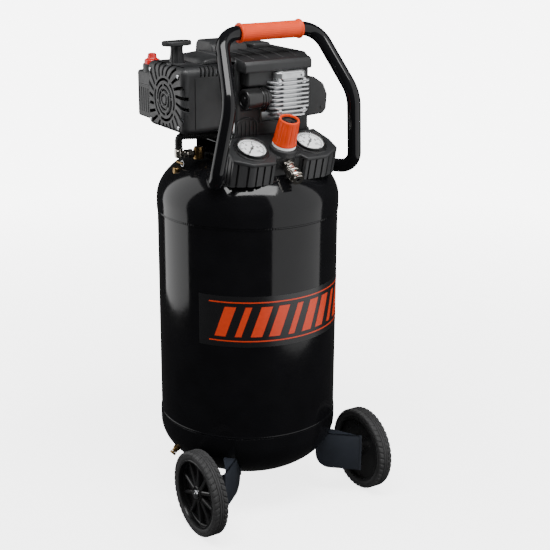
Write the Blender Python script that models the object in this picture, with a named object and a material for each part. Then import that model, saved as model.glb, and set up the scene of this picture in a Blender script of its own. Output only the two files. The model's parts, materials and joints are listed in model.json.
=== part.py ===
"""Upright air compressor on two wheels: a 50 litre tank with a direct drive piston pump on top.

Metres, +Z up. The front, with the gauges, the handle and the wheels, faces -Y, and +X is the right
of somebody who looks at the front. Places below are measured from the tank's axis on the floor. The
empty "compressor" then moves everything back, so that the middle of the whole object's base is the
scene's origin.
"""

from math import cos, pi, radians, sin, sqrt, tan

import bmesh
import bpy
from mathutils import Matrix, Vector

# ---------------------------------------------------------------- driving dimensions
GAP = 0.0003  # between pieces that touch
SHEET = 0.003  # steel brackets
PLASTIC = 0.003  # moulded covers

TANK_RADIUS = 0.170
TANK_WALL = 0.0022
HEAD_STEP = 0.0014  # how far the pressed heads stand proud of the shell
SEAM_LOW = 0.169
SEAM_HIGH = 0.575
HEAD_FLANGE = 0.020
HEAD_DOME = 0.100
TANK_SIDES = 44

WHEEL_RADIUS = 0.0805
WHEEL_WIDTH = 0.028
WHEEL_OUTER_X = 0.1985
WHEEL_Y = -0.1365

PUMP_AXIS_Z = 0.790  # the motor's and the crank's axis, along X above the tank's axis
CYLINDER_X = 0.022
CRANK_THROW = 0.011

HANDLE_TUBE_RADIUS = 0.0125
HANDLE_TUBE_WALL = 0.0015
HANDLE_TOP_Z = 0.9075
HANDLE_TOP_Y = -0.0735
GRIP_HALF_LENGTH = 0.064

GAUGE_X = 0.0613
GAUGE_CENTRE = Vector((0.0, -0.1153, 0.7109))
GAUGE_TILT = radians(27.0)  # of the dials' faces from horizontal, towards the front
SKIRT_TILT = radians(14.0)
PANEL_BASE_Z = 0.648
KNOB_SEAT = Vector((0.0, -0.1215, 0.7065))
KNOB_TILT = radians(20.0)
COUPLER_ROOT = Vector((0.0, -0.1280, 0.6850))
COUPLER_DROP = radians(32.0)  # below horizontal

X_AXIS = Vector((1.0, 0.0, 0.0))
Y_AXIS = Vector((0.0, 1.0, 0.0))
Z_AXIS = Vector((0.0, 0.0, 1.0))
BASE_SHIFT_Y = (WHEEL_RADIUS - WHEEL_Y - TANK_RADIUS - HEAD_STEP) / 2

for old in list(bpy.data.objects):
    bpy.data.objects.remove(old, do_unlink=True)

ROOT = bpy.data.objects.new("compressor", None)
ROOT.location = (0.0, BASE_SHIFT_Y, 0.0)
bpy.context.scene.collection.objects.link(ROOT)


# ---------------------------------------------------------------- materials
def material(name, colour, roughness, metallic=0.0, alpha=1.0):
    made = bpy.data.materials.new(name)
    made.use_nodes = True
    shader = made.node_tree.nodes["Principled BSDF"]
    shader.inputs["Base Color"].default_value = (*colour, 1.0)
    shader.inputs["Roughness"].default_value = roughness
    shader.inputs["Metallic"].default_value = metallic
    shader.inputs["Alpha"].default_value = alpha
    made.diffuse_color = (*colour, alpha)
    return made


BLACK_ENAMEL = material("black_enamel", (0.012, 0.012, 0.014), 0.12)
BRACKET_PAINT = material("bracket_paint", (0.035, 0.040, 0.050), 0.35)
GREY_PLASTIC = material("grey_plastic", (0.045, 0.046, 0.048), 0.55)
BLACK_PLASTIC = material("black_plastic", (0.016, 0.016, 0.017), 0.40)
ORANGE_PLASTIC = material("orange_plastic", (0.85, 0.13, 0.02), 0.42)
RED_PLASTIC = material("red_plastic", (0.62, 0.03, 0.03), 0.40)
TYRE_RUBBER = material("tyre_rubber", (0.060, 0.060, 0.062), 0.80)
BLACK_RUBBER = material("black_rubber", (0.020, 0.020, 0.020), 0.75)
CAST_ALUMINIUM = material("cast_aluminium", (0.60, 0.61, 0.62), 0.45, 1.0)
BRIGHT_STEEL = material("bright_steel", (0.55, 0.56, 0.58), 0.30, 1.0)
NICKEL = material("nickel", (0.62, 0.58, 0.52), 0.22, 1.0)
BRASS = material("brass", (0.62, 0.44, 0.16), 0.30, 1.0)
LAMINATION = material("lamination", (0.22, 0.23, 0.25), 0.45, 1.0)
DIAL_WHITE = material("dial_white", (0.85, 0.86, 0.86), 0.45)
NEEDLE_BLACK = material("needle_black", (0.01, 0.01, 0.01), 0.40)
CLEAR_LENS = material("clear_lens", (0.95, 0.97, 0.98), 0.05, 0.0, 0.25)


# ---------------------------------------------------------------- shape tools
def solid(name, points, faces, finish, at=(0.0, 0.0, 0.0), towards=None, smooth=30.0):
    """One object from points and faces about its own origin, its local +Z turned to `towards`."""
    mesh = bpy.data.meshes.new(name)
    mesh.from_pydata([tuple(point) for point in points], [], faces)
    shape = bmesh.new()
    shape.from_mesh(mesh)
    bmesh.ops.recalc_face_normals(shape, faces=shape.faces)
    shape.to_mesh(mesh)
    shape.free()
    mesh.materials.append(finish)
    if smooth:
        mesh.shade_smooth()
        mesh.set_sharp_from_angle(angle=radians(smooth))
    made = bpy.data.objects.new(name, mesh)
    made.location = at
    if towards is not None:
        made.rotation_mode = "QUATERNION"
        made.rotation_quaternion = Z_AXIS.rotation_difference(Vector(towards).normalized())
    bpy.context.scene.collection.objects.link(made)
    made.parent = ROOT
    return made


def turned(name, profile, finish, at, towards=Z_AXIS, steps=24, ring=False, smooth=30.0):
    """A lathe shape: (radius, height) points, closed on itself where `ring` is set."""
    points = []
    rows = []
    for radius, height in profile:
        if radius < 1e-6:
            rows.append([len(points)])
            points.append((0.0, 0.0, height))
            continue
        rows.append(list(range(len(points), len(points) + steps)))
        for step in range(steps):
            angle = 2 * pi * step / steps
            points.append((radius * cos(angle), radius * sin(angle), height))
    faces = []
    pairs = list(zip(rows, rows[1:]))
    if ring:
        pairs.append((rows[-1], rows[0]))
    for low, high in pairs:
        if len(low) == len(high) == 1:
            continue
        for step in range(steps):
            following = (step + 1) % steps
            if len(low) == 1:
                faces.append((low[0], high[step], high[following]))
            elif len(high) == 1:
                faces.append((low[step], low[following], high[0]))
            else:
                faces.append((low[step], low[following], high[following], high[step]))
    return solid(name, points, faces, finish, at, towards, smooth)


def pipe_ring(inner, outer, low, high):
    """The profile of a plain sleeve."""
    return [(inner, low), (outer, low), (outer, high), (inner, high)]


def loft(name, first, last, finish, smooth=30.0):
    """A solid between two outlines with the same number of points, in the tank's coordinates."""
    count = len(first)
    faces = [tuple(range(count)), tuple(range(2 * count - 1, count - 1, -1))]
    for index in range(count):
        following = (index + 1) % count
        faces.append((index, following, count + following, count + index))
    return solid(name, list(first) + list(last), faces, finish, smooth=smooth)


def side_prism(name, outline, x_low, x_high, finish):
    """(y, z) points drawn out along X."""
    return loft(name, [(x_low, y, z) for y, z in outline], [(x_high, y, z) for y, z in outline], finish)


def front_prism(name, outline, y_low, y_high, finish):
    """(x, z) points drawn out along Y."""
    return loft(name, [(x, y_low, z) for x, z in outline], [(x, y_high, z) for x, z in outline], finish)


def plan_prism(name, outline, z_low, z_high, finish):
    """(x, y) points drawn out along Z."""
    return loft(name, [(x, y, z_low) for x, y in outline], [(x, y, z_high) for x, y in outline], finish)


def block(name, low, high, finish):
    """A box between two corners, with its origin at its middle."""
    middle = [(a + b) / 2 for a, b in zip(low, high)]
    half = [(b - a) / 2 for a, b in zip(low, high)]
    signs = [(-1, -1), (1, -1), (1, 1), (-1, 1)]
    points = [(sx * half[0], sy * half[1], sz * half[2]) for sz in (-1, 1) for sx, sy in signs]
    faces = [(3, 2, 1, 0), (4, 5, 6, 7), (0, 1, 5, 4), (1, 2, 6, 5), (2, 3, 7, 6), (3, 0, 4, 7)]
    return solid(name, points, faces, finish, at=middle)


def rounded(obj, width, segments=2, angle=30.0):
    bevel = obj.modifiers.new("bevel", "BEVEL")
    bevel.width = width
    bevel.segments = segments
    bevel.limit_method = "ANGLE"
    bevel.angle_limit = radians(angle)
    return obj


def as_helper(obj):
    obj.hide_render = True
    obj.display_type = "WIRE"
    return obj


def combine(obj, other, operation):
    boolean = obj.modifiers.new(operation.lower(), "BOOLEAN")
    boolean.operation = operation
    boolean.object = as_helper(other)
    return obj


def cut(obj, other):
    return combine(obj, other, "DIFFERENCE")


def join(obj, other):
    return combine(obj, other, "UNION")


def softened(corners, radii, per_bend=5):
    """A path through corner points, each inner corner replaced by an arc of the given radius."""
    path = [Vector(corners[0])]
    for index in range(1, len(corners) - 1):
        here = Vector(corners[index])
        back = (Vector(corners[index - 1]) - here).normalized()
        ahead = (Vector(corners[index + 1]) - here).normalized()
        half = back.angle(ahead) / 2
        radius = radii[index - 1]
        reach = radius / tan(half)
        centre = here + (back + ahead).normalized() * (radius / sin(half))
        start = here + back * reach - centre
        normal = start.cross(here + ahead * reach - centre).normalized()
        sweep = pi - 2 * half
        for step in range(per_bend + 1):
            path.append(centre + Matrix.Rotation(sweep * step / per_bend, 3, normal) @ start)
    path.append(Vector(corners[-1]))
    return path


def swept(name, path, radius, finish, steps=12, wall=0.0):
    """A round bar, or a tube with open ends where `wall` is given, along a path of points."""
    count = len(path)
    tangents = []
    for index in range(count):
        ahead = path[min(index + 1, count - 1)] - path[max(index - 1, 0)]
        tangents.append(ahead.normalized())
    side = tangents[0].orthogonal().normalized()
    points = []
    for shell in ([radius, radius - wall] if wall else [radius]):
        across = side.copy()
        for index in range(count):
            if index:
                across = tangents[index - 1].rotation_difference(tangents[index]) @ across
            other = tangents[index].cross(across)
            for step in range(steps):
                angle = 2 * pi * step / steps
                points.append(path[index] + shell * (across * cos(angle) + other * sin(angle)))
    faces = []
    skin = count * steps
    for index in range(count - 1):
        for step in range(steps):
            following = (step + 1) % steps
            a = index * steps
            faces.append((a + step, a + following, a + steps + following, a + steps + step))
            if wall:
                b = a + skin
                faces.append((b + steps + step, b + steps + following, b + following, b + step))
    last = (count - 1) * steps
    if wall:
        for step in range(steps):
            following = (step + 1) % steps
            faces.append((skin + step, skin + following, following, step))
            faces.append((last + step, last + following, skin + last + following, skin + last + step))
    else:
        faces.append(tuple(range(steps)))
        faces.append(tuple(range(last + steps - 1, last - 1, -1)))
    return solid(name, points, faces, finish, smooth=50.0)


# ---------------------------------------------------------------- tank
HEAD_RADIUS = TANK_RADIUS + HEAD_STEP


def dome_profile(radius, flange, dome, steps=7):
    """(radius, height) points from a head's rim at height 0 up to its crown on the axis."""
    points = [(radius, 0.0)]
    for step in range(steps):
        angle = (pi / 2) * step / steps
        points.append((radius * cos(angle), flange + dome * sin(angle)))
    points.append((0.0, flange + dome))
    return points


def tank_head(name, rim_z, towards):
    outside = dome_profile(HEAD_RADIUS, HEAD_FLANGE, HEAD_DOME)
    inside = dome_profile(HEAD_RADIUS - TANK_WALL, HEAD_FLANGE, HEAD_DOME - TANK_WALL, steps=5)
    profile = list(reversed(inside)) + outside
    return turned(name, profile, BLACK_ENAMEL, (0, 0, rim_z), towards, steps=TANK_SIDES)


def dome_cutter(name, rim_z, towards):
    """The space that a head fills, a gap larger, to shape what rests on it."""
    profile = dome_profile(HEAD_RADIUS + GAP, HEAD_FLANGE + GAP, HEAD_DOME)
    profile.insert(0, (HEAD_RADIUS + GAP, -0.05))
    profile.insert(0, (0.0, -0.05))
    return turned(name, profile, BLACK_ENAMEL, (0, 0, rim_z), towards, steps=TANK_SIDES)


def dome_height(radius):
    """How high above its rim a head's outside is at this distance from the axis."""
    return HEAD_FLANGE + HEAD_DOME * sqrt(1 - (radius / HEAD_RADIUS) ** 2)


def build_tank():
    inner = TANK_RADIUS - TANK_WALL
    shell = pipe_ring(inner, TANK_RADIUS, SEAM_LOW + GAP, SEAM_HIGH - GAP)
    turned("tank_shell", shell, BLACK_ENAMEL, (0, 0, 0), steps=TANK_SIDES, ring=True)
    top = tank_head("tank_top_head", SEAM_HIGH, Z_AXIS)
    bottom = tank_head("tank_bottom_head", SEAM_LOW, -Z_AXIS)
    return top, bottom


build_tank()


# ---------------------------------------------------------------- drain valve
DRAIN_AXIS = Vector((-0.72, 0.0, -0.69)).normalized()
DRAIN_ROOT = Vector((-0.1520, 0.010, 0.1080))


def build_drain_valve():
    body = [(0.0, 0.0), (0.0075, 0.0), (0.0075, 0.007), (0.0055, 0.008), (0.0055, 0.014), (0.0, 0.014)]
    drain = turned("drain_valve_body", body, BRASS, DRAIN_ROOT, DRAIN_AXIS, steps=12)
    bore = [(0.0, 0.005), (0.0026, 0.005), (0.0026, 0.020), (0.0, 0.020)]
    cut(drain, turned("drain_bore", bore, BRASS, DRAIN_ROOT, DRAIN_AXIS, steps=12))
    cut(drain, dome_cutter("drain_seat_cut", SEAM_LOW, -Z_AXIS))
    screw = [(0.0, 0.007), (0.0022, 0.007), (0.0022, 0.0145), (0.0065, 0.0145), (0.0065, 0.0195), (0.0, 0.0195)]
    turned("drain_valve_screw", screw, BRASS, DRAIN_ROOT, DRAIN_AXIS, steps=12)


build_drain_valve()


# ---------------------------------------------------------------- wheels and their brackets
AXLE_RADIUS = 0.0050
HUB_BORE = AXLE_RADIUS + 0.0005
RIM_OUTER = 0.0650
RIM_INNER = 0.0615
BOSS_RADIUS = 0.0150
WEB_TOP = -0.0035  # the web behind the spokes, measured outwards from the wheel's middle
SPOKE_PAIRS = 5
SIDE_PLATE_X = 0.1520
BRACKET_LOW = 0.0545
BRACKET_HIGH = 0.1280
BRACKET_INNER = Vector((0.0864, -0.1159))
BRACKET_OUTER = Vector((SIDE_PLATE_X, -0.1735))
BRACKET_BACK_Y = WHEEL_Y + 0.018


def hub_pockets(name, towards, centre):
    """Wedge shaped pockets from the outer side, which leave pairs of spokes in front of a thin closed web."""
    inner = BOSS_RADIUS + 0.002
    outer = RIM_INNER - 0.002
    wide = (radians(5.5), radians(36.5))
    narrow = (radians(41.5), radians(66.5))
    points = []
    faces = []
    for pair in range(SPOKE_PAIRS):
        for start, stop in (wide, narrow):
            turn = 2 * pi * pair / SPOKE_PAIRS
            spread = radians(4.0)
            corners = [
                (inner, start + spread), (outer, start), (outer, stop), (inner, stop - spread),
            ]
            base = len(points)
            for height in (WEB_TOP, 0.03):
                for radius, angle in corners:
                    points.append((radius * cos(angle + turn), radius * sin(angle + turn), height))
            count = len(corners)
            faces.append(tuple(base + index for index in range(count)))
            faces.append(tuple(base + count + index for index in reversed(range(count))))
            for index in range(count):
                following = (index + 1) % count
                faces.append((base + index, base + following, base + count + following, base + count + index))
    return solid(name, points, faces, BLACK_PLASTIC, centre, towards, smooth=0)


def build_wheel(side, label):
    centre = Vector((side * (WHEEL_OUTER_X - WHEEL_WIDTH / 2), WHEEL_Y, WHEEL_RADIUS))
    towards = X_AXIS * side
    half = WHEEL_WIDTH / 2
    tread = WHEEL_RADIUS
    tyre = [
        (RIM_OUTER + GAP, -0.86 * half), (0.0700, -half), (0.0775, -half), (tread, -0.78 * half), (tread, 0.78 * half),
        (0.0775, half), (0.0700, half), (RIM_OUTER + GAP, 0.86 * half),
    ]
    turned(f"wheel_{label}_tyre", tyre, TYRE_RUBBER, centre, towards, steps=36, ring=True)
    hub_low = -half + 0.0005
    hub_high = half - 0.0045
    hub = [
        (HUB_BORE, hub_low), (BOSS_RADIUS, hub_low), (BOSS_RADIUS, -0.006), (RIM_INNER, -0.006), (RIM_INNER, -0.012),
        (RIM_OUTER, -0.012), (RIM_OUTER, 0.012), (RIM_INNER, 0.012), (RIM_INNER, 0.003), (BOSS_RADIUS, 0.007),
        (BOSS_RADIUS, hub_high), (HUB_BORE, hub_high),
    ]
    wheel = turned(f"wheel_{label}_hub", hub, BLACK_PLASTIC, centre, towards, steps=30, ring=True)
    cut(wheel, hub_pockets(f"wheel_{label}_pockets", towards, centre))
    plate_low = SIDE_PLATE_X - 0.0010 - centre.x * side
    plate_high = plate_low + SHEET + 0.0010
    bolt = [
        (0.0, plate_low - 0.0070), (0.0085, plate_low - 0.0070), (0.0085, plate_low - GAP), (AXLE_RADIUS, plate_low - GAP),
        (AXLE_RADIUS, plate_high + GAP), (0.0080, plate_high + GAP), (0.0080, hub_low - GAP), (AXLE_RADIUS, hub_low - GAP),
        (AXLE_RADIUS, hub_high + GAP), (0.0085, hub_high + GAP), (0.0085, half - 0.0005), (0.0, half - 0.0005),
    ]
    turned(f"wheel_{label}_axle_bolt", bolt, BRIGHT_STEEL, centre, towards, steps=12)


def build_wheel_bracket(side, label):
    """A bent sheet: an oblique front plate, a flat top and a side plate that carries the axle."""
    along = (BRACKET_OUTER - BRACKET_INNER).normalized()
    inward = Vector((-along.y, along.x)) * SHEET
    round_radius = 0.028

    def mirrored(outline):
        return [(side * x, y) for x, y in outline]

    rise = BRACKET_HIGH - BRACKET_LOW
    length = (BRACKET_OUTER - BRACKET_INNER).length
    face = [(0.0, rise), (0.0, round_radius)]
    for step in range(1, 6):
        angle = (pi / 2) * step / 6
        face.append((round_radius * (1 - cos(angle)), round_radius * (1 - sin(angle))))
    face += [(round_radius, 0.0), (length, 0.0), (length, rise)]
    front = []
    behind = []
    for distance, height in face:
        spot = BRACKET_INNER + along * distance
        front.append((side * spot.x, spot.y, BRACKET_LOW + height))
        behind.append((side * (spot.x + inward.x), spot.y + inward.y, BRACKET_LOW + height))
    bracket = loft(f"wheel_bracket_{label}", front, behind, BRACKET_PAINT)
    top = [tuple(BRACKET_INNER), tuple(BRACKET_OUTER), (0.1250, -0.1180), (0.1000, -0.1000)]
    sheet = plan_prism(f"bracket_top_{label}", mirrored(top), BRACKET_HIGH - SHEET, BRACKET_HIGH, BRACKET_PAINT)
    join(bracket, sheet)
    front_y = BRACKET_OUTER.y - 0.0010
    plate = [
        (front_y, BRACKET_LOW), (BRACKET_BACK_Y, BRACKET_LOW + 0.0110), (BRACKET_BACK_Y, BRACKET_HIGH - 0.0330),
        (front_y, BRACKET_HIGH),
    ]
    x_pair = sorted((side * (SIDE_PLATE_X - 0.0010), side * (SIDE_PLATE_X + SHEET)))
    join(bracket, side_prism(f"bracket_side_{label}", plate, *x_pair, BRACKET_PAINT))
    hole = [(0.0, 0.0), (AXLE_RADIUS + 0.0004, 0.0), (AXLE_RADIUS + 0.0004, 0.02), (0.0, 0.02)]
    at = (side * (SIDE_PLATE_X - 0.008), WHEEL_Y, WHEEL_RADIUS)
    cut(bracket, turned(f"bracket_hole_{label}", hole, BRACKET_PAINT, at, X_AXIS * side, steps=12))
    cut(bracket, dome_cutter(f"bracket_seat_{label}", SEAM_LOW, -Z_AXIS))


for wheel_side, wheel_label in ((-1, "left"), (1, "right")):
    build_wheel(wheel_side, wheel_label)
    build_wheel_bracket(wheel_side, wheel_label)


# ---------------------------------------------------------------- rear foot
FOOT_Y = 0.118
FOOT_PAD_HEIGHT = 0.020
FOOT_RADIUS = 0.019


def build_rear_foot():
    pad = [(0.0, 0.0), (FOOT_RADIUS, 0.0), (FOOT_RADIUS - 0.003, FOOT_PAD_HEIGHT), (0.0, FOOT_PAD_HEIGHT)]
    turned("rear_foot_pad", pad, BLACK_RUBBER, (0, FOOT_Y, 0), steps=24)
    low = FOOT_PAD_HEIGHT + GAP
    leg = [
        (FOOT_Y - 0.020, low), (FOOT_Y + 0.020, low), (FOOT_Y + 0.020, low + SHEET),
        (FOOT_Y - 0.017, low + SHEET), (FOOT_Y - 0.017, 0.110), (FOOT_Y - 0.020, 0.110),
    ]
    bracket = side_prism("rear_foot_bracket", leg, -0.030, 0.030, BRACKET_PAINT)
    cut(bracket, dome_cutter("foot_seat_cut", SEAM_LOW, -Z_AXIS))


build_rear_foot()


# ---------------------------------------------------------------- handle
def build_handle():
    right = [
        (0.0990, HANDLE_TOP_Y, HANDLE_TOP_Z), (0.1285, -0.1535, 0.7970), (0.1480, -0.1345, 0.6570),
        (0.1050, -0.0505, 0.6550),
    ]
    left = [(-x, y, z) for x, y, z in reversed(right)]
    path = softened(left + right, (0.032, 0.060, 0.042, 0.042, 0.060, 0.032))
    tube = swept("handle_tube", path, HANDLE_TUBE_RADIUS, BLACK_ENAMEL, steps=12, wall=HANDLE_TUBE_WALL)
    cut(tube, dome_cutter("handle_seat_cut", SEAM_HIGH, Z_AXIS))
    bore = HANDLE_TUBE_RADIUS + GAP
    half = GRIP_HALF_LENGTH
    grip = [
        (bore, -half), (0.0170, -half), (0.0175, -half + 0.003), (0.0155, -half + 0.006),
        (0.0152, 0.0), (0.0155, half - 0.006), (0.0175, half - 0.003), (0.0170, half), (bore, half),
    ]
    turned("handle_grip", grip, ORANGE_PLASTIC, (0, HANDLE_TOP_Y, HANDLE_TOP_Z), X_AXIS, steps=20, ring=True)


build_handle()


# ---------------------------------------------------------------- pump platform and rubber mounts
PLATFORM_TOP = 0.7045
MOUNT_HEIGHT = 0.0110
PUMP_FOOT_Z = PLATFORM_TOP + 2 * GAP + MOUNT_HEIGHT
MOUNT_PLACES = {"front_left": (-0.050, -0.045), "front_right": (0.068, -0.045),
                "rear_left": (-0.050, 0.045), "rear_right": (0.068, 0.045)}


def build_platform():
    top = PLATFORM_TOP
    under = top - SHEET
    outline = [
        (-0.060, 0.650), (-0.057, 0.650), (-0.057, under), (0.072, under), (0.072, 0.650), (0.075, 0.650),
        (0.075, top), (-0.060, top),
    ]
    platform = side_prism("pump_platform", outline, -0.068, 0.088, BLACK_ENAMEL)
    cut(platform, dome_cutter("platform_seat_cut", SEAM_HIGH, Z_AXIS))
    for label, (x, y) in MOUNT_PLACES.items():
        rubber = [
            (0.0, 0.0), (0.011, 0.0), (0.0095, MOUNT_HEIGHT / 2), (0.011, MOUNT_HEIGHT), (0.0, MOUNT_HEIGHT),
        ]
        turned(f"pump_mount_{label}", rubber, BLACK_RUBBER, (x, y, top + GAP), steps=12)


build_platform()


# ---------------------------------------------------------------- electric motor
MOTOR_COVER_X = (-0.1720, -0.0750)
MOTOR_COVER_HALF_Y = 0.0680
MOTOR_COVER_Z = (0.7360, 0.8520)
SLOT_COUNT = 22
SLOT_RING = (0.030, 0.056)
SHAFT_RADIUS = 0.0070
STATOR_X = (-0.1340, -0.0900)
KNOB_STEM_X = -0.1460
KNOB_STEM_RADIUS = 0.0135


def grille_slots():
    """Radial openings round the fan, cut through the end wall of the motor cover."""
    points = []
    faces = []
    half_width = 0.0016
    for slot in range(SLOT_COUNT):
        angle = 2 * pi * (slot + 0.5) / SLOT_COUNT
        along = Vector((0.0, cos(angle), sin(angle)))
        across = Vector((0.0, -sin(angle), cos(angle))) * half_width
        base = len(points)
        for depth in (-0.006, 0.006):
            for reach, sign in ((SLOT_RING[0], -1), (SLOT_RING[1], -1), (SLOT_RING[1], 1), (SLOT_RING[0], 1)):
                points.append(along * reach + across * sign + X_AXIS * depth)
        faces += [
            (base, base + 1, base + 2, base + 3), (base + 7, base + 6, base + 5, base + 4),
            (base, base + 4, base + 5, base + 1), (base + 1, base + 5, base + 6, base + 2),
            (base + 2, base + 6, base + 7, base + 3), (base + 3, base + 7, base + 4, base),
        ]
    at = (MOTOR_COVER_X[0] + PLASTIC / 2, 0.0, PUMP_AXIS_Z)
    return solid("grille_slots", points, faces, GREY_PLASTIC, at, smooth=0)


def build_motor_cover():
    x_low, x_high = MOTOR_COVER_X
    z_low, z_high = MOTOR_COVER_Z
    half = MOTOR_COVER_HALF_Y
    cover = rounded(block("motor_cover", (x_low, -half, z_low), (x_high, half, z_high), GREY_PLASTIC), 0.012)
    inner = PLASTIC
    hollow = block(
        "motor_cover_hollow", (x_low + inner, -half + inner, z_low + inner), (x_high + 0.02, half - inner, z_high - inner), GREY_PLASTIC
    )
    cut(cover, rounded(hollow, 0.009))
    cut(cover, grille_slots())
    stem = [(0.0, -0.02), (KNOB_STEM_RADIUS + 0.0006, -0.02), (KNOB_STEM_RADIUS + 0.0006, 0.02), (0.0, 0.02)]
    cut(cover, turned("stem_hole", stem, GREY_PLASTIC, (KNOB_STEM_X, 0, z_high), steps=16))


def build_motor():
    low, high = STATOR_X
    axis_point = (0.0, 0.0, PUMP_AXIS_Z)
    stator = pipe_ring(0.0290, 0.0500, low, high)
    turned("motor_stator", stator, LAMINATION, axis_point, X_AXIS, steps=24, ring=True)
    rotor = pipe_ring(SHAFT_RADIUS + GAP, 0.0280, low, high)
    turned("motor_rotor", rotor, LAMINATION, axis_point, X_AXIS, steps=20, ring=True)
    disc = [
        (SHAFT_RADIUS + GAP, -0.163), (0.012, -0.163), (0.012, -0.154), (0.041, -0.154), (0.041, -0.152),
        (SHAFT_RADIUS + GAP, -0.152),
    ]
    fan = turned("cooling_fan", disc, BLACK_PLASTIC, axis_point, X_AXIS, steps=20, ring=True)
    for vane in range(8):
        angle = 2 * pi * vane / 8
        along = Vector((0.0, cos(angle), sin(angle)))
        across = Vector((0.0, -sin(angle), cos(angle))) * 0.001
        ends = [along * 0.0105 - across, along * 0.040 - across, along * 0.040 + across, along * 0.0105 + across]
        centre = Vector(axis_point)
        first = [centre + end - X_AXIS * 0.1620 for end in ends]
        last = [centre + end - X_AXIS * 0.1530 for end in ends]
        join(fan, loft(f"fan_vane_{vane}", first, last, BLACK_PLASTIC))
    block("power_switch", (-0.1490, -0.020, 0.8060), (-0.1370, 0.020, 0.8330), BLACK_PLASTIC)


def build_switch_knob():
    """A T shaped knob that is pulled up to run the motor and pushed down to stop it."""
    top = MOTOR_COVER_Z[1]
    # The stem narrows below the cover, so that the knob pressed down passes the stator's end face.
    foot = STATOR_X[0] - KNOB_STEM_X - 0.0010
    stem = [(0.0, -0.0100), (foot, -0.0100), (foot, -0.0055), (KNOB_STEM_RADIUS, -0.0055), (KNOB_STEM_RADIUS, 0.032), (0.0, 0.032)]
    at = (KNOB_STEM_X, 0.0, top)
    knob = turned("switch_knob", stem, GREY_PLASTIC, at, steps=16)
    cap = block(
        "switch_knob_cap", (KNOB_STEM_X - 0.029, -0.0145, top + 0.0315), (KNOB_STEM_X + 0.029, 0.0145, top + 0.0395), GREY_PLASTIC
    )
    join(knob, rounded(cap, 0.0025))


def build_rear_box():
    """The box behind the motor that holds its overload switch, with a red button on top."""
    low = Vector((-0.1640, MOTOR_COVER_HALF_Y + GAP, 0.7420))
    high = Vector((-0.0880, 0.1240, 0.8280))
    box = rounded(block("overload_box", low, high, GREY_PLASTIC), 0.006)
    wall = Vector((PLASTIC, PLASTIC, PLASTIC))
    hollow_low = low + wall
    hollow_low.z = low.z - 0.01
    cut(box, block("overload_box_hollow", hollow_low, high - wall, GREY_PLASTIC))
    at = (-0.1455, 0.0960, high.z)
    collar = [(0.0, -0.002), (0.0175, -0.002), (0.0175, 0.0105), (0.0165, 0.0125), (0.0, 0.0125)]
    join(box, turned("button_collar", collar, GREY_PLASTIC, at, steps=20))
    bore = [(0.0, -0.010), (0.0151, -0.010), (0.0151, 0.020), (0.0, 0.020)]
    cut(box, turned("button_bore", bore, GREY_PLASTIC, at, steps=20))
    button = [
        (0.0, -0.003), (0.0145, -0.003), (0.0145, 0.0180), (0.0130, 0.0205), (0.0090, 0.0225), (0.0080, 0.0290), (0.0060, 0.0310),
        (0.0, 0.0310),
    ]
    turned("overload_button", button, RED_PLASTIC, at, steps=20)


build_motor_cover()
build_motor()
build_switch_knob()
build_rear_box()


# ---------------------------------------------------------------- pump
PUMP_COVER_X = (-0.0745, 0.0840)
PUMP_COVER_Y = (-0.0780, 0.0780)
PUMP_COVER_Z = (0.7160, 0.8660)
HEAD_Z = 0.7970
CYLINDER_FACE_Y = -0.0820
HEAD_BACK_Y = -0.0868
HEAD_FRONT_Y = -0.1170
HEAD_HALF_WIDTH = 0.0420
FIN_COUNT = 9
FILTER_Y = -0.1040
BORE_RADIUS = 0.0215
PISTON_RADIUS = 0.0211
ROD_X = (CYLINDER_X - 0.008, CYLINDER_X + 0.008)


def build_crankshaft():
    axis_point = (0.0, 0.0, PUMP_AXIS_Z)
    web_low = CYLINDER_X - 0.0220
    shaft = [
        (0.0, -0.1610), (SHAFT_RADIUS, -0.1610), (SHAFT_RADIUS, web_low), (0.0190, web_low), (0.0190, web_low + 0.008),
        (0.0, web_low + 0.008),
    ]
    crank = turned("crankshaft", shaft, BRIGHT_STEEL, axis_point, X_AXIS, steps=24)
    pin = [(0.0, web_low + 0.006), (0.0050, web_low + 0.006), (0.0050, ROD_X[0] - 0.0005), (0.0, ROD_X[0] - 0.0005)]
    join(crank, turned("crank_pin", pin, BRIGHT_STEEL, (0.0, -CRANK_THROW, PUMP_AXIS_Z), X_AXIS, steps=16))


def build_piston():
    """A wobble piston: its crown and its rod are one piece."""
    crown_y = CYLINDER_FACE_Y + 0.0015
    crown = [(0.0, 0.0), (PISTON_RADIUS, 0.0), (PISTON_RADIUS, 0.006), (0.0, 0.006)]
    piston = turned("piston_and_rod", crown, CAST_ALUMINIUM, (CYLINDER_X, crown_y, PUMP_AXIS_Z), Y_AXIS, steps=24)
    rod_low = (ROD_X[0], crown_y + 0.005, PUMP_AXIS_Z - 0.0045)
    rod_high = (ROD_X[1], -CRANK_THROW - 0.0100, PUMP_AXIS_Z + 0.0045)
    join(piston, block("rod_bar", rod_low, rod_high, CAST_ALUMINIUM))
    big_end = pipe_ring(0.0080, 0.0135, ROD_X[0], ROD_X[1])
    eye_at = (0.0, -CRANK_THROW, PUMP_AXIS_Z)
    join(piston, turned("rod_big_end", big_end, CAST_ALUMINIUM, eye_at, X_AXIS, steps=20, ring=True))


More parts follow.
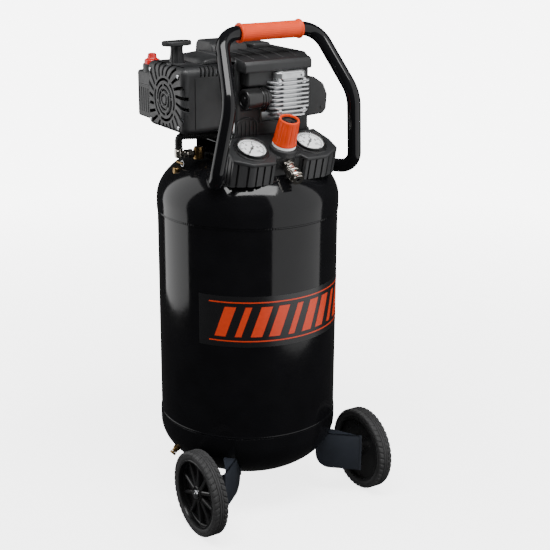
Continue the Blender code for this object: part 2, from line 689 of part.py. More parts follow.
def build_crankcase():
    foot = PUMP_FOOT_Z
    case = block("crankcase", (-0.0450, -0.0395, foot), (0.0550, 0.0430, 0.8340), CAST_ALUMINIUM)
    join(case, block("crankcase_foot", (-0.0640, -0.0580, foot + 0.0001), (0.0790, 0.0580, foot + 0.0050), CAST_ALUMINIUM))
    chamber = [(0.0, -0.0120), (0.0340, -0.0120), (0.0340, 0.0700), (0.0, 0.0700)]
    axis_point = (0.0, 0.0, PUMP_AXIS_Z)
    cut(case, turned("crank_chamber", chamber, CAST_ALUMINIUM, axis_point, X_AXIS, steps=24))
    shaft_bore = [(0.0, -0.0600), (SHAFT_RADIUS + 0.0005, -0.0600), (SHAFT_RADIUS + 0.0005, 0.0), (0.0, 0.0)]
    cut(case, turned("shaft_bore", shaft_bore, CAST_ALUMINIUM, axis_point, X_AXIS, steps=24))
    mouth = [(0.0, 0.0), (BORE_RADIUS + 0.001, 0.0), (BORE_RADIUS + 0.001, 0.0600), (0.0, 0.0600)]
    cut(case, turned("cylinder_mouth", mouth, CAST_ALUMINIUM, (CYLINDER_X, 0, PUMP_AXIS_Z), -Y_AXIS, steps=24))


def build_cylinder_and_head():
    sleeve = pipe_ring(BORE_RADIUS, 0.0290, CYLINDER_FACE_Y, -0.0395 - GAP)
    turned("cylinder", sleeve, CAST_ALUMINIUM, (CYLINDER_X, 0, PUMP_AXIS_Z), Y_AXIS, steps=24, ring=True)
    plate_half = 0.0300
    valve_plate = block(
        "valve_plate", (CYLINDER_X - plate_half, HEAD_BACK_Y + GAP, HEAD_Z - plate_half),
        (CYLINDER_X + plate_half, CYLINDER_FACE_Y - GAP, HEAD_Z + plate_half), BRIGHT_STEEL,
    )
    for side in (-1, 1):
        port = [(0.0, -0.010), (0.0035, -0.010), (0.0035, 0.010), (0.0, 0.010)]
        at = (CYLINDER_X + side * 0.010, CYLINDER_FACE_Y, PUMP_AXIS_Z)
        cut(valve_plate, turned(f"valve_port_{side + 1}", port, BRIGHT_STEEL, at, Y_AXIS, steps=10))
    low = HEAD_Z - 0.0370
    high = HEAD_Z + 0.0420
    top_plate = 0.0120
    root_y = HEAD_FRONT_Y + 0.0160
    pitch = (high - top_plate - low) / FIN_COUNT
    comb = [(HEAD_BACK_Y, low), (root_y, low)]
    for fin in range(FIN_COUNT):
        base = low + pitch * fin
        comb += [(HEAD_FRONT_Y, base + 0.0002), (HEAD_FRONT_Y, base + 0.45 * pitch), (root_y, base + 0.55 * pitch)]
        comb.append((root_y, base + pitch))
    comb += [(HEAD_FRONT_Y - 0.001, high - top_plate + 0.0002), (HEAD_FRONT_Y - 0.001, high), (HEAD_BACK_Y, high)]
    head = side_prism("cylinder_head", comb, CYLINDER_X - HEAD_HALF_WIDTH, CYLINDER_X + HEAD_HALF_WIDTH, CAST_ALUMINIUM)
    wide = HEAD_HALF_WIDTH + 0.001
    half_outline = [(0.0300, low - 0.001), (wide, low + 0.0160), (wide, high - 0.0260), (0.0275, high - 0.0120), (0.0275, high + 0.001)]
    octagon = [(CYLINDER_X + x, z) for x, z in half_outline] + [(CYLINDER_X - x, z) for x, z in reversed(half_outline)]
    shape = front_prism("head_outline", octagon, HEAD_FRONT_Y - 0.010, HEAD_BACK_Y + 0.010, CAST_ALUMINIUM)
    combine(head, shape, "INTERSECT")


def build_intake_filter():
    end_x = CYLINDER_X - HEAD_HALF_WIDTH - GAP
    canister = [
        (0.0, -0.0720), (0.0165, -0.0720), (0.0185, -0.0700), (0.0185, -0.0390), (0.0172, -0.0385), (0.0172, -0.0360),
        (0.0185, -0.0355), (0.0185, -0.0280), (0.0110, -0.0270), (0.0110, end_x), (0.0, end_x),
    ]
    turned("intake_filter", canister, BLACK_PLASTIC, (0.0, FILTER_Y, 0.7960), X_AXIS, steps=20)


def build_pump_cover():
    x_low, x_high = PUMP_COVER_X
    y_low, y_high = PUMP_COVER_Y
    z_low, z_high = PUMP_COVER_Z
    outline = [
        (y_low, z_low), (y_high, z_low), (y_high, z_high - 0.020), (y_high - 0.020, z_high),
        (y_low + 0.012, z_high), (y_low, z_high - 0.006),
    ]
    cover = rounded(side_prism("pump_cover", outline, x_low, x_high, GREY_PLASTIC), 0.006)
    visor = [
        (y_low + 0.004, z_high - 0.024), (-0.1060, z_high - 0.0250), (-0.1070, z_high - 0.0170), (y_low + 0.010, z_high - 0.001),
    ]
    join(cover, rounded(side_prism("pump_cover_visor", visor, -0.0660, 0.0660, GREY_PLASTIC), 0.003, 1))
    brow = block("pump_cover_brow", (-0.0615, -0.0990, 0.8140), (0.0640, y_low + 0.0055, z_high - 0.0185), GREY_PLASTIC)
    join(cover, rounded(brow, 0.006, 2))
    inner = PLASTIC
    hollow = block(
        "pump_cover_hollow", (x_low - 0.02, y_low + inner, z_low - 0.02), (x_high - inner, y_high - inner, z_high - inner - 0.004), GREY_PLASTIC
    )
    cut(cover, hollow)
    half = HEAD_HALF_WIDTH + 0.002
    window = block("head_window", (CYLINDER_X - half, -0.1200, 0.7480), (CYLINDER_X + half, -0.0600, 0.8400), GREY_PLASTIC)
    cut(cover, window)


def build_end_cover():
    x_low = PUMP_COVER_X[1] + GAP
    outline = [
        (x_low, 0.7400), (0.1380, 0.7430), (0.1450, 0.7520), (0.1470, 0.7790), (0.1380, 0.8000), (0.1180, 0.8130),
        (x_low, 0.8180),
    ]
    cover = rounded(front_prism("crank_end_cover", outline, -0.0470, 0.0470, GREY_PLASTIC), 0.005)
    inner = PLASTIC
    hollow = [
        (x_low - 0.02, 0.7400 + inner), (0.1370, 0.7430 + inner), (0.1420, 0.7530), (0.1438, 0.7785), (0.1360, 0.7975),
        (0.1170, 0.8100), (x_low - 0.02, 0.8180 - inner),
    ]
    cut(cover, front_prism("end_cover_hollow", hollow, -0.0470 + inner, 0.0470 - inner, GREY_PLASTIC))


build_crankshaft()
build_piston()
build_crankcase()
build_cylinder_and_head()
build_intake_filter()
build_pump_cover()
build_end_cover()


# ---------------------------------------------------------------- air line into the tank
CHECK_VALVE_AT = Vector((-0.1120, -0.0140))
CHECK_OUTLET = Vector((-0.92, 0.39, 0.0)).normalized()
CHECK_OUTLET_Z = 0.6900
ELBOW_REACH = 0.0360
SAFETY_VALVE_AT = Vector((-0.1330, 0.0260))
SAFETY_PULL = Vector((0.0, -1.0, 0.0))
HOSE_RADIUS = 0.0072
HOSE_Z = 0.7225
HOSE_END = Vector((-0.0560, -0.0662, HOSE_Z))
PORT_TUBE_RADIUS = 0.0040


def dome_z(place):
    """The height of the top head's surface at this place in plan."""
    return SEAM_HIGH + dome_height(place.length)


def build_check_valve():
    """A brass valve on the tank, with an arm and an elbow that the hose from the pump pushes onto."""
    x, y = CHECK_VALVE_AT
    base = dome_z(CHECK_VALVE_AT) - 0.010
    top = 0.7020 - base
    profile = [
        (0.0, 0.0), (0.0120, 0.0), (0.0120, 0.0200), (0.0100, 0.0210), (0.0100, top - 0.005), (0.0080, top), (0.0, top),
    ]
    valve = turned("check_valve", profile, BRASS, (x, y, base), steps=12)
    root = Vector((x, y, CHECK_OUTLET_Z))
    arm = [(0.0, 0.0), (0.0050, 0.0), (0.0050, ELBOW_REACH), (0.0, ELBOW_REACH)]
    join(valve, turned("check_valve_arm", arm, NICKEL, root, CHECK_OUTLET, steps=12))
    elbow = [(0.0, -0.0075), (0.0070, -0.0075), (0.0080, -0.0055), (0.0080, 0.0095), (0.0, 0.0095)]
    elbow_at = root + CHECK_OUTLET * ELBOW_REACH
    join(valve, turned("check_valve_elbow", elbow, NICKEL, elbow_at, steps=12))
    cut(valve, dome_cutter("check_valve_seat", SEAM_HIGH, Z_AXIS))
    start = elbow_at + Z_AXIS * (0.0095 + GAP)
    corners = [start, (start.x, start.y, HOSE_Z), (-0.0820, -0.0250, HOSE_Z), (-0.0780, HOSE_END.y, HOSE_Z), HOSE_END]
    path = softened(corners, (0.0090, 0.0250, 0.0150), per_bend=4)
    swept("discharge_hose", path, HOSE_RADIUS, BLACK_RUBBER, steps=10)


def build_port_tube():
    """The metal tube that rises from the hose to the port in the back of the cylinder head."""
    port_x = CYLINDER_X - 0.0375
    port_z = 0.7720
    corners = [
        HOSE_END + X_AXIS * GAP, (port_x, HOSE_END.y, HOSE_Z), (port_x, HOSE_END.y, port_z), (port_x, HEAD_BACK_Y + GAP, port_z),
    ]
    path = softened(corners, (0.0100, 0.0080), per_bend=4)
    swept("port_tube", path, PORT_TUBE_RADIUS, BRASS, steps=8)


def build_safety_valve():
    """A small relief valve beside the check valve, opened by hand with a ring on its stem."""
    x, y = SAFETY_VALVE_AT
    base = dome_z(SAFETY_VALVE_AT) - 0.008
    rise = 0.0290
    profile = [
        (0.0, 0.0), (0.0060, 0.0), (0.0060, 0.0120), (0.0080, 0.0125), (0.0080, rise - 0.0020), (0.0060, rise), (0.0, rise),
    ]
    valve = turned("safety_valve_body", profile, BRASS, (x, y, base), steps=12)
    root = Vector((x, y, base + 0.0200))
    bore = [(0.0, -0.0030), (0.0021, -0.0030), (0.0021, 0.0200), (0.0, 0.0200)]
    cut(valve, turned("safety_valve_bore", bore, BRASS, root, SAFETY_PULL, steps=12))
    cut(valve, dome_cutter("safety_valve_seat", SEAM_HIGH, Z_AXIS))
    stem = [(0.0, 0.0), (0.0016, 0.0), (0.0016, 0.0120), (0.0, 0.0120)]
    ring = turned("safety_valve_ring", stem, BRIGHT_STEEL, root, SAFETY_PULL, steps=10)
    loop = pipe_ring(0.0042, 0.0062, -0.0010, 0.0010)
    join(ring, turned("pull_loop", loop, BRIGHT_STEEL, root + SAFETY_PULL * 0.0165, X_AXIS, steps=14, ring=True))


build_check_valve()
build_port_tube()
build_safety_valve()


# ---------------------------------------------------------------- control panel
DIAL_NORMAL = Vector((0.0, -sin(GAUGE_TILT), cos(GAUGE_TILT)))
KNOB_AXIS = Vector((0.0, -sin(KNOB_TILT), cos(KNOB_TILT)))
COUPLER_AXIS = Vector((0.0, -cos(COUPLER_DROP), -sin(COUPLER_DROP)))
PANEL_HALF_OUTLINE = [
    (0.0250, -0.1270), (0.0330, -0.1400), (0.0760, -0.1390), (0.1090, -0.1210), (0.1070, -0.0950), (0.0930, -0.0610),
]


def panel_body(name, inset, lower, under_top):
    """The housing's outer shape, or its hollow when it is inset, between a level base and the dials' plane."""
    shift = tan(SKIRT_TILT)
    slope = tan(GAUGE_TILT)
    outline = PANEL_HALF_OUTLINE
    half = []
    for index, (x, y) in enumerate(outline):
        inward_x = -inset if index > 1 else 0.0
        inward_y = inset if index < 4 else -inset
        half.append((x + inward_x, y + inward_y))
    whole = half + [(-x, y) for x, y in reversed(half)]
    low = []
    high = []
    for x, y in whole:
        base_z = PANEL_BASE_Z - lower
        plane = GAUGE_CENTRE.z - under_top / cos(GAUGE_TILT) - slope * GAUGE_CENTRE.y
        top_z = (plane + slope * (y + shift * PANEL_BASE_Z)) / (1 + slope * shift)
        low.append((x, y - shift * (base_z - PANEL_BASE_Z), base_z))
        high.append((x, y - shift * (top_z - PANEL_BASE_Z), top_z))
    return loft(name, low, high, GREY_PLASTIC)


def build_panel_housing():
    under = 0.0030
    housing = rounded(panel_body("panel_housing", 0.0, 0.0, under), 0.004)
    cut(housing, panel_body("panel_hollow", PLASTIC, 0.010, under + PLASTIC))
    seat = [(0.0, -0.004), (0.0250, -0.004), (0.0245, 0.0055), (0.0, 0.0055)]
    join(housing, turned("knob_seat", seat, GREY_PLASTIC, KNOB_SEAT, KNOB_AXIS, steps=24))
    bore = [(0.0, -0.020), (0.0090, -0.020), (0.0090, 0.020), (0.0, 0.020)]
    cut(housing, turned("spindle_hole", bore, GREY_PLASTIC, KNOB_SEAT, KNOB_AXIS, steps=20))
    for side in (-1, 1):
        hole = [(0.0, -0.020), (0.0252, -0.020), (0.0252, 0.010), (0.0, 0.010)]
        at = GAUGE_CENTRE + X_AXIS * GAUGE_X * side
        cut(housing, turned(f"gauge_hole_{side + 1}", hole, GREY_PLASTIC, at, DIAL_NORMAL, steps=24))
    outlet = [(0.0, -0.020), (0.0118, -0.020), (0.0118, 0.030), (0.0, 0.030)]
    cut(housing, turned("coupler_hole", outlet, GREY_PLASTIC, COUPLER_ROOT, COUPLER_AXIS, steps=16))
    cut(housing, dome_cutter("housing_seat", SEAM_HIGH, Z_AXIS))


def build_gauge(side, label):
    centre = GAUGE_CENTRE + X_AXIS * GAUGE_X * side
    case = [
        (0.0, -0.0200), (0.0245, -0.0200), (0.0245, -0.0027), (0.0287, -0.0027), (0.0287, 0.0034), (0.0272, 0.0046),
        (0.0258, 0.0034), (0.0258, -0.0012), (0.0, -0.0012),
    ]
    turned(f"gauge_{label}_case", case, BLACK_PLASTIC, centre, DIAL_NORMAL, steps=28)
    dial = [(0.0, -0.0009), (0.0254, -0.0009), (0.0254, -0.0003), (0.0, -0.0003)]
    turned(f"gauge_{label}_dial", dial, DIAL_WHITE, centre, DIAL_NORMAL, steps=28)
    hub = [(0.0, 0.0), (0.0030, 0.0), (0.0030, 0.0012), (0.0, 0.0012)]
    needle = turned(f"gauge_{label}_needle", hub, NEEDLE_BLACK, centre, DIAL_NORMAL, steps=12)
    rest = radians(225.0)
    across_face = DIAL_NORMAL.cross(X_AXIS).normalized()
    pointing = X_AXIS * cos(rest) + across_face * sin(rest)
    sideways = DIAL_NORMAL.cross(pointing).normalized()
    blade = []
    for reach, half in ((-0.006, -0.0010), (0.0190, -0.0003), (0.0190, 0.0003), (-0.006, 0.0010)):
        blade.append(centre + pointing * reach + sideways * half)
    first = [point + DIAL_NORMAL * 0.0002 for point in blade]
    last = [point + DIAL_NORMAL * 0.0009 for point in blade]
    join(needle, loft(f"gauge_{label}_pointer", first, last, NEEDLE_BLACK))
    lens = [(0.0, 0.0016), (0.0254, 0.0016), (0.0254, 0.0028), (0.0, 0.0028)]
    turned(f"gauge_{label}_lens", lens, CLEAR_LENS, centre, DIAL_NORMAL, steps=28)


def build_regulator():
    spindle = [(0.0, -0.0050), (0.0070, -0.0050), (0.0070, 0.0420), (0.0, 0.0420)]
    turned("regulator_spindle", spindle, BRIGHT_STEEL, KNOB_SEAT, KNOB_AXIS, steps=16)
    ring = pipe_ring(0.0095, 0.0215, 0.0058, 0.0104)
    turned("regulator_ring", ring, DIAL_WHITE, KNOB_SEAT, KNOB_AXIS, steps=24, ring=True)
    knob = [
        (0.0076, 0.0108), (0.0218, 0.0108), (0.0212, 0.0200), (0.0185, 0.0570), (0.0165, 0.0590), (0.0135, 0.0590),
        (0.0130, 0.0570), (0.0, 0.0570), (0.0, 0.0460), (0.0076, 0.0460),
    ]
    turned("regulator_knob", knob, ORANGE_PLASTIC, KNOB_SEAT, KNOB_AXIS, steps=24, ring=True)


def build_manifold():
    block("manifold_block", (-0.0300, -0.1180, 0.6835), (0.0060, -0.0900, 0.6990), CAST_ALUMINIUM)
    block("pressure_switch", (0.0063, -0.1180, 0.6835), (0.0330, -0.0900, 0.6990), BLACK_PLASTIC)


def build_coupler():
    body = [
        (0.0, -0.0060), (0.0085, -0.0060), (0.0085, 0.0080), (0.0112, 0.0090), (0.0112, 0.0140), (0.0085, 0.0150),
        (0.0085, 0.0450), (0.0108, 0.0460), (0.0108, 0.0510), (0.0103, 0.0515), (0.0056, 0.0515), (0.0056, 0.0200),
        (0.0, 0.0200),
    ]
    turned("coupler_body", body, NICKEL, COUPLER_ROOT, COUPLER_AXIS, steps=20)
    sleeve = [
        (0.0089, 0.0205), (0.0122, 0.0205), (0.0126, 0.0225), (0.0126, 0.0330), (0.0118, 0.0340), (0.0118, 0.0370),
        (0.0126, 0.0380), (0.0126, 0.0435), (0.0120, 0.0445), (0.0089, 0.0445),
    ]
    turned("coupler_sleeve", sleeve, NICKEL, COUPLER_ROOT, COUPLER_AXIS, steps=20, ring=True)


build_panel_housing()
for gauge_side, gauge_label in ((-1, "left"), (1, "right")):
    build_gauge(gauge_side, gauge_label)
build_regulator()
build_manifold()
build_coupler()
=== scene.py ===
import json
from math import cos, pi, radians, sin, sqrt, tan

import bmesh
import bpy
from mathutils import Matrix, Vector


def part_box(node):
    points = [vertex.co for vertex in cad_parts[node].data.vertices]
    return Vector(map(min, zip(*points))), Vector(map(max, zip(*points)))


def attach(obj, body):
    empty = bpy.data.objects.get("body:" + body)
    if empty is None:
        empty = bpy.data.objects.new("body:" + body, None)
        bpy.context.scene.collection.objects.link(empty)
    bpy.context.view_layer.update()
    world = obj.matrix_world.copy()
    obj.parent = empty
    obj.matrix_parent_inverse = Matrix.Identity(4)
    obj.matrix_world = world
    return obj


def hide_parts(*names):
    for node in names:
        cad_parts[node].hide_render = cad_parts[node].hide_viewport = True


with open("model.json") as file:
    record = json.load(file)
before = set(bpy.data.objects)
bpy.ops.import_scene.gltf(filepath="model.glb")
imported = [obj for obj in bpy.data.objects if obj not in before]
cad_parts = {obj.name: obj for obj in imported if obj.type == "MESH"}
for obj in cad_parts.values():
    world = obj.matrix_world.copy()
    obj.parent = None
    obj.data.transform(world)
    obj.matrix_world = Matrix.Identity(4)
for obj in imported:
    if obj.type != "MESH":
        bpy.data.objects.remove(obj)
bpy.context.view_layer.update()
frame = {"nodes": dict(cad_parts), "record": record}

# Every piece is built in the tank's own coordinates: metres, the tank's axis upright through the
# origin, the front towards -Y and the floor at height 0. SHIFT moves it to where the model stands.
TANK_LOW, TANK_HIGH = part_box("tank_shell")
SHIFT = Vector(((TANK_LOW.x + TANK_HIGH.x) / 2, (TANK_LOW.y + TANK_HIGH.y) / 2, 0.0))
NODE_BODY = {
    node: body for body, members in frame["record"]["behaviour"]["bodies"].items() for node in members
}
X_AXIS = Vector((1.0, 0.0, 0.0))
Y_AXIS = Vector((0.0, 1.0, 0.0))
Z_AXIS = Vector((0.0, 0.0, 1.0))


def place_of(node):
    """A node's lowest and highest corners in the tank's coordinates."""
    low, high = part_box(node)
    return low - SHIFT, high - SHIFT


# ---------------------------------------------------------------- materials
def mixed(nodes, links, factor, first, second):
    """A colour between two, by a factor socket."""
    mix = nodes.new("ShaderNodeMix")
    mix.data_type = "RGBA"
    links.new(factor, mix.inputs["Factor"])
    for socket, colour in ((mix.inputs[6], first), (mix.inputs[7], second)):
        if isinstance(colour, tuple):
            socket.default_value = (*colour, 1.0)
        else:
            links.new(colour, socket)
    return mix.outputs[2]


def spread_range(nodes, links, value, low, high, from_low=0.3, from_high=0.7):
    scale = nodes.new("ShaderNodeMapRange")
    scale.inputs["From Min"].default_value = from_low
    scale.inputs["From Max"].default_value = from_high
    scale.inputs["To Min"].default_value = low
    scale.inputs["To Max"].default_value = high
    links.new(value, scale.inputs["Value"])
    return scale.outputs["Result"]


def noise(nodes, links, size, detail=3.0, stretch=None):
    """Procedural noise whose features are about `size` metres across."""
    place = nodes.new("ShaderNodeTexCoord").outputs["Object"]
    if stretch is not None:
        mapping = nodes.new("ShaderNodeMapping")
        mapping.inputs["Scale"].default_value = stretch
        links.new(place, mapping.inputs["Vector"])
        place = mapping.outputs["Vector"]
    texture = nodes.new("ShaderNodeTexNoise")
    texture.inputs["Scale"].default_value = 1.0 / size
    texture.inputs["Detail"].default_value = detail
    links.new(place, texture.inputs["Vector"])
    return texture.outputs["Fac"]


def material(
        name, colour, roughness, metallic=0.0, spread=0.1, rough_spread=0.08, mottle=0.03,
        grain=0.0, grain_size=0.0006, coat=0.0, wear=0.0, stretch=None, sheen=0.0, specular=0.5,
):
    """Base colour and roughness drift over the surface, a fine grain stands in relief, edges wear lighter."""
    made = bpy.data.materials.new("look_" + name)
    made.use_nodes = True
    nodes = made.node_tree.nodes
    links = made.node_tree.links
    shader = nodes["Principled BSDF"]
    shader.inputs["Metallic"].default_value = metallic
    shader.inputs["Coat Weight"].default_value = coat
    shader.inputs["Coat Roughness"].default_value = 0.04
    shader.inputs["Sheen Weight"].default_value = sheen
    shader.inputs["Specular IOR Level"].default_value = specular
    drift = noise(nodes, links, mottle)
    dark = tuple(part * (1 - spread) for part in colour)
    light = tuple(min(1.0, part * (1 + spread)) for part in colour)
    shade = mixed(nodes, links, spread_range(nodes, links, drift, 0.0, 1.0), dark, light)
    if wear:
        edges = nodes.new("ShaderNodeNewGeometry").outputs["Pointiness"]
        worn = spread_range(nodes, links, edges, 0.0, wear, 0.51, 0.6)
        lifted = tuple(min(1.0, part * 1.9 + 0.02) for part in colour)
        shade = mixed(nodes, links, worn, shade, lifted)
    links.new(shade, shader.inputs["Base Color"])
    uneven = noise(nodes, links, mottle * 0.35, 4.0, stretch)
    half = rough_spread / 2
    links.new(spread_range(nodes, links, uneven, roughness - half, roughness + half),
        shader.inputs["Roughness"])
    if grain:
        relief = nodes.new("ShaderNodeBump")
        relief.inputs["Strength"].default_value = 1.0
        relief.inputs["Distance"].default_value = grain
        links.new(noise(nodes, links, grain_size, 2.0, stretch), relief.inputs["Height"])
        links.new(relief.outputs["Normal"], shader.inputs["Normal"])
    made.diffuse_color = (*colour, 1.0)
    return made


LOOKS = {
    "black_enamel": material(
        "black_enamel", (0.004, 0.004, 0.0046), 0.1, spread=0.15, rough_spread=0.04, mottle=0.05,
        grain=0.00002, grain_size=0.0065, specular=0.26,
    ),
    "bracket_paint": material(
        "bracket_paint", (0.012, 0.0145, 0.02), 0.36, spread=0.15, grain=0.00003, grain_size=0.0012,
        wear=0.35, specular=0.35,
    ),
    "grey_plastic": material(
        "grey_plastic", (0.0095, 0.0098, 0.0105), 0.45, spread=0.12, grain=0.00004, grain_size=0.0007,
        wear=0.6, specular=0.38,
    ),
    "black_plastic": material(
        "black_plastic", (0.005, 0.005, 0.0053), 0.3, spread=0.12, grain=0.00002, grain_size=0.0006,
        wear=0.4, specular=0.4,
    ),
    "orange_plastic": material(
        "orange_plastic", (0.58, 0.037, 0.0004), 0.4, specular=0.25, spread=0.07, grain=0.00003,
        grain_size=0.0006, wear=0.15,
    ),
    "orange_rubber": material(
        "orange_rubber", (0.56, 0.037, 0.0004), 0.55, spread=0.08, grain=0.00006, grain_size=0.0006,
        specular=0.3,
    ),
    "red_plastic": material(
        "red_plastic", (0.42, 0.006, 0.005), 0.27, spread=0.08, grain=0.00001, grain_size=0.0008, coat=0.2,
    ),
    "tyre_rubber": material(
        "tyre_rubber", (0.021, 0.021, 0.0215), 0.72, spread=0.22, grain=0.00012, grain_size=0.0008,
        wear=0.5, specular=0.4,
    ),
    "black_rubber": material(
        "black_rubber", (0.007, 0.007, 0.007), 0.5, spread=0.2, grain=0.00006, grain_size=0.0007,
        wear=0.4, specular=0.4,
    ),
    "cast_aluminium": material(
        "cast_aluminium", (0.5, 0.51, 0.52), 0.36, 0.9, spread=0.14, rough_spread=0.16, mottle=0.012,
        grain=0.00011, grain_size=0.0012, wear=0.35,
    ),
    "bright_steel": material(
        "bright_steel", (0.6, 0.61, 0.63), 0.26, 1.0, spread=0.1, mottle=0.006, grain=0.00002,
        grain_size=0.0005,
        stretch=(1.0, 1.0, 9.0),
    ),
    "nickel": material(
        "nickel", (0.66, 0.62, 0.56), 0.17, 1.0, spread=0.06, mottle=0.008, grain=0.00001, grain_size=0.0006,
    ),
    "brass": material(
        "brass", (0.24, 0.155, 0.065), 0.36, 1.0, spread=0.18, mottle=0.006, grain=0.00003, grain_size=0.0006,
    ),
    "lamination": material(
        "lamination", (0.22, 0.23, 0.25), 0.45, 1.0, spread=0.2, mottle=0.006, grain=0.0001,
        grain_size=0.0006,
        stretch=(9.0, 0.3, 0.3),
    ),
    "dial_white": material("dial_white", (0.84, 0.85, 0.86), 0.42, spread=0.03, grain=0.00001,
        grain_size=0.0008),
    "needle_black": material("needle_black", (0.01, 0.01, 0.01), 0.38, spread=0.1, mottle=0.004),
}


def lens_material():
    """Clear moulded plastic with a faint unevenness."""
    made = bpy.data.materials.new("look_clear_lens")
    made.use_nodes = True
    nodes = made.node_tree.nodes
    links = made.node_tree.links
    shader = nodes["Principled BSDF"]
    shader.inputs["Base Color"].default_value = (0.97, 0.98, 0.98, 1.0)
    shader.inputs["IOR"].default_value = 1.3
    shader.inputs["Alpha"].default_value = 0.05
    links.new(spread_range(nodes, links, noise(nodes, links, 0.01), 0.03, 0.08), shader.inputs["Roughness"])
    made.diffuse_color = (0.9, 0.95, 0.95, 0.2)
    return made


def printed_material(name, colour, roughness):
    """Ink on a label or a dial: flat colour with a slight mottle."""
    return material(name, colour, roughness, spread=0.06, rough_spread=0.06, mottle=0.006)


LOOKS["clear_lens"] = lens_material()
LABEL_BLACK = printed_material("label_black", (0.007, 0.007, 0.0078), 0.3)
LABEL_ORANGE = printed_material("label_orange", (0.5, 0.028, 0.0004), 0.36)
INK = printed_material("ink", (0.012, 0.012, 0.013), 0.45)
# Copper darkened far below the brass: painted shade for the dark inside of the pump cover, where the tube
# shows through the head's window.
COPPER_PAINTED_SHADE = material("copper_painted_shade", (0.075, 0.045, 0.028), 0.5, 1.0, spread=0.25, mottle=0.006,
    grain=0.00004)
# Near-black matte look: painted shade for the vent slots on the pump cover's back and for the recess in the
# regulator knob's top.
PAINTED_SHADE = material("shadow_gap", (0.004, 0.004, 0.004), 0.6, spread=0.2)


# ---------------------------------------------------------------- shape tools
def solid(points, faces, at=(0.0, 0.0, 0.0), towards=None):
    """An unnamed mesh from points about `at`, their +Z turned to `towards`."""
    turn = Matrix.Identity(3)
    if towards is not None:
        turn = Z_AXIS.rotation_difference(Vector(towards).normalized()).to_matrix()
    at = Vector(at)
    mesh = bpy.data.meshes.new("draft")
    mesh.from_pydata([turn @ Vector(point) + at for point in points], [], faces)
    shape = bmesh.new()
    shape.from_mesh(mesh)
    bmesh.ops.recalc_face_normals(shape, faces=shape.faces)
    shape.to_mesh(mesh)
    shape.free()
    made = bpy.data.objects.new("draft", mesh)
    bpy.context.scene.collection.objects.link(made)
    return made


def turned(profile, at=(0.0, 0.0, 0.0), towards=Z_AXIS, steps=64, ring=False, shape=None):
    """A lathe shape of (radius, height) points. `shape(angle, radius, height)` may give another radius."""
    points = []
    rows = []
    for radius, height in profile:
        if radius < 1e-6:
            rows.append([len(points)])
            points.append((0.0, 0.0, height))
            continue
        rows.append(list(range(len(points), len(points) + steps)))
        for step in range(steps):
            angle = 2 * pi * step / steps
            reach = shape(angle, radius, height) if shape else radius
            points.append((reach * cos(angle), reach * sin(angle), height))
    faces = []
    pairs = list(zip(rows, rows[1:]))
    if ring:
        pairs.append((rows[-1], rows[0]))
    for low, high in pairs:
        if len(low) == len(high) == 1:
            continue
        for step in range(steps):
            following = (step + 1) % steps
            if len(low) == 1:
                faces.append((low[0], high[step], high[following]))
            elif len(high) == 1:
                faces.append((low[step], low[following], high[0]))
            else:
                faces.append((low[step], low[following], high[following], high[step]))
    return solid(points, faces, at, towards)


def pipe_ring(inner, outer, low, high):
    return [(inner, low), (outer, low), (outer, high), (inner, high)]


def loft(first, last):
    """A solid between two outlines with the same number of points."""
    count = len(first)
    faces = [tuple(range(count)), tuple(range(2 * count - 1, count - 1, -1))]
    for index in range(count):
        following = (index + 1) % count
        faces.append((index, following, count + following, count + index))
    return solid(list(first) + list(last), faces)


def side_prism(outline, x_low, x_high):
    return loft([(x_low, y, z) for y, z in outline], [(x_high, y, z) for y, z in outline])


def front_prism(outline, y_low, y_high):
    return loft([(x, y_low, z) for x, z in outline], [(x, y_high, z) for x, z in outline])


def plan_prism(outline, z_low, z_high):
    return loft([(x, y, z_low) for x, y in outline], [(x, y, z_high) for x, y in outline])


def block(low, high):
    low = Vector(low)
    high = Vector(high)
    outline = [(low.x, low.y), (high.x, low.y), (high.x, high.y), (low.x, high.y)]
    return plan_prism(outline, low.z, high.z)


def hexagon(radius, at, towards, low, high, turn=0.0, sides=6):
    """A nut's or a bolt head's prism, chamfered at its outer end."""
    outline = [(radius * cos(turn + 2 * pi * n / sides),
            radius * sin(turn + 2 * pi * n / sides)) for n in range(sides)]
    first = [(x, y, low) for x, y in outline]
    middle = [(x, y, high - 0.12 * radius) for x, y in outline]
    last = [(x * 0.88, y * 0.88, high) for x, y in outline]
    points = first + middle + last
    faces = [tuple(range(sides)), tuple(range(3 * sides - 1, 2 * sides - 1, -1))]
    for row in (0, sides):
        for n in range(sides):
            m = (n + 1) % sides
            faces.append((row + n, row + m, row + sides + m, row + sides + n))
    return solid(points, faces, at, towards)


def settle(obj):
    """Bakes the modifiers of a draft into its mesh."""
    graph = bpy.context.evaluated_depsgraph_get()
    mesh = bpy.data.meshes.new_from_object(obj.evaluated_get(graph))
    obj.modifiers.clear()
    old = obj.data
    obj.data = mesh
    bpy.data.meshes.remove(old)
    return obj


def rounded(obj, width, segments=3, angle=30.0):
    bevel = obj.modifiers.new("bevel", "BEVEL")
    bevel.width = width
    bevel.segments = segments
    bevel.limit_method = "ANGLE"
    bevel.angle_limit = radians(angle)
    bevel.harden_normals = False
    return settle(obj)


def drop(obj):
    mesh = obj.data
    bpy.data.objects.remove(obj, do_unlink=True)
    bpy.data.meshes.remove(mesh)


def combine(obj, other, operation):
    boolean = obj.modifiers.new("boolean", "BOOLEAN")
    boolean.operation = operation
    boolean.object = other
    boolean.solver = "EXACT"
    settle(obj)
    drop(other)
    return obj


def cut(obj, other):
    return combine(obj, other, "DIFFERENCE")


def fused(*drafts):
    """Several drafts as one mesh, each keeping its own surface."""
    joined = bmesh.new()
    for draft in drafts:
        joined.from_mesh(draft.data)
    first = drafts[0]
    joined.to_mesh(first.data)
    joined.free()
    for draft in drafts[1:]:
        drop(draft)
    return first


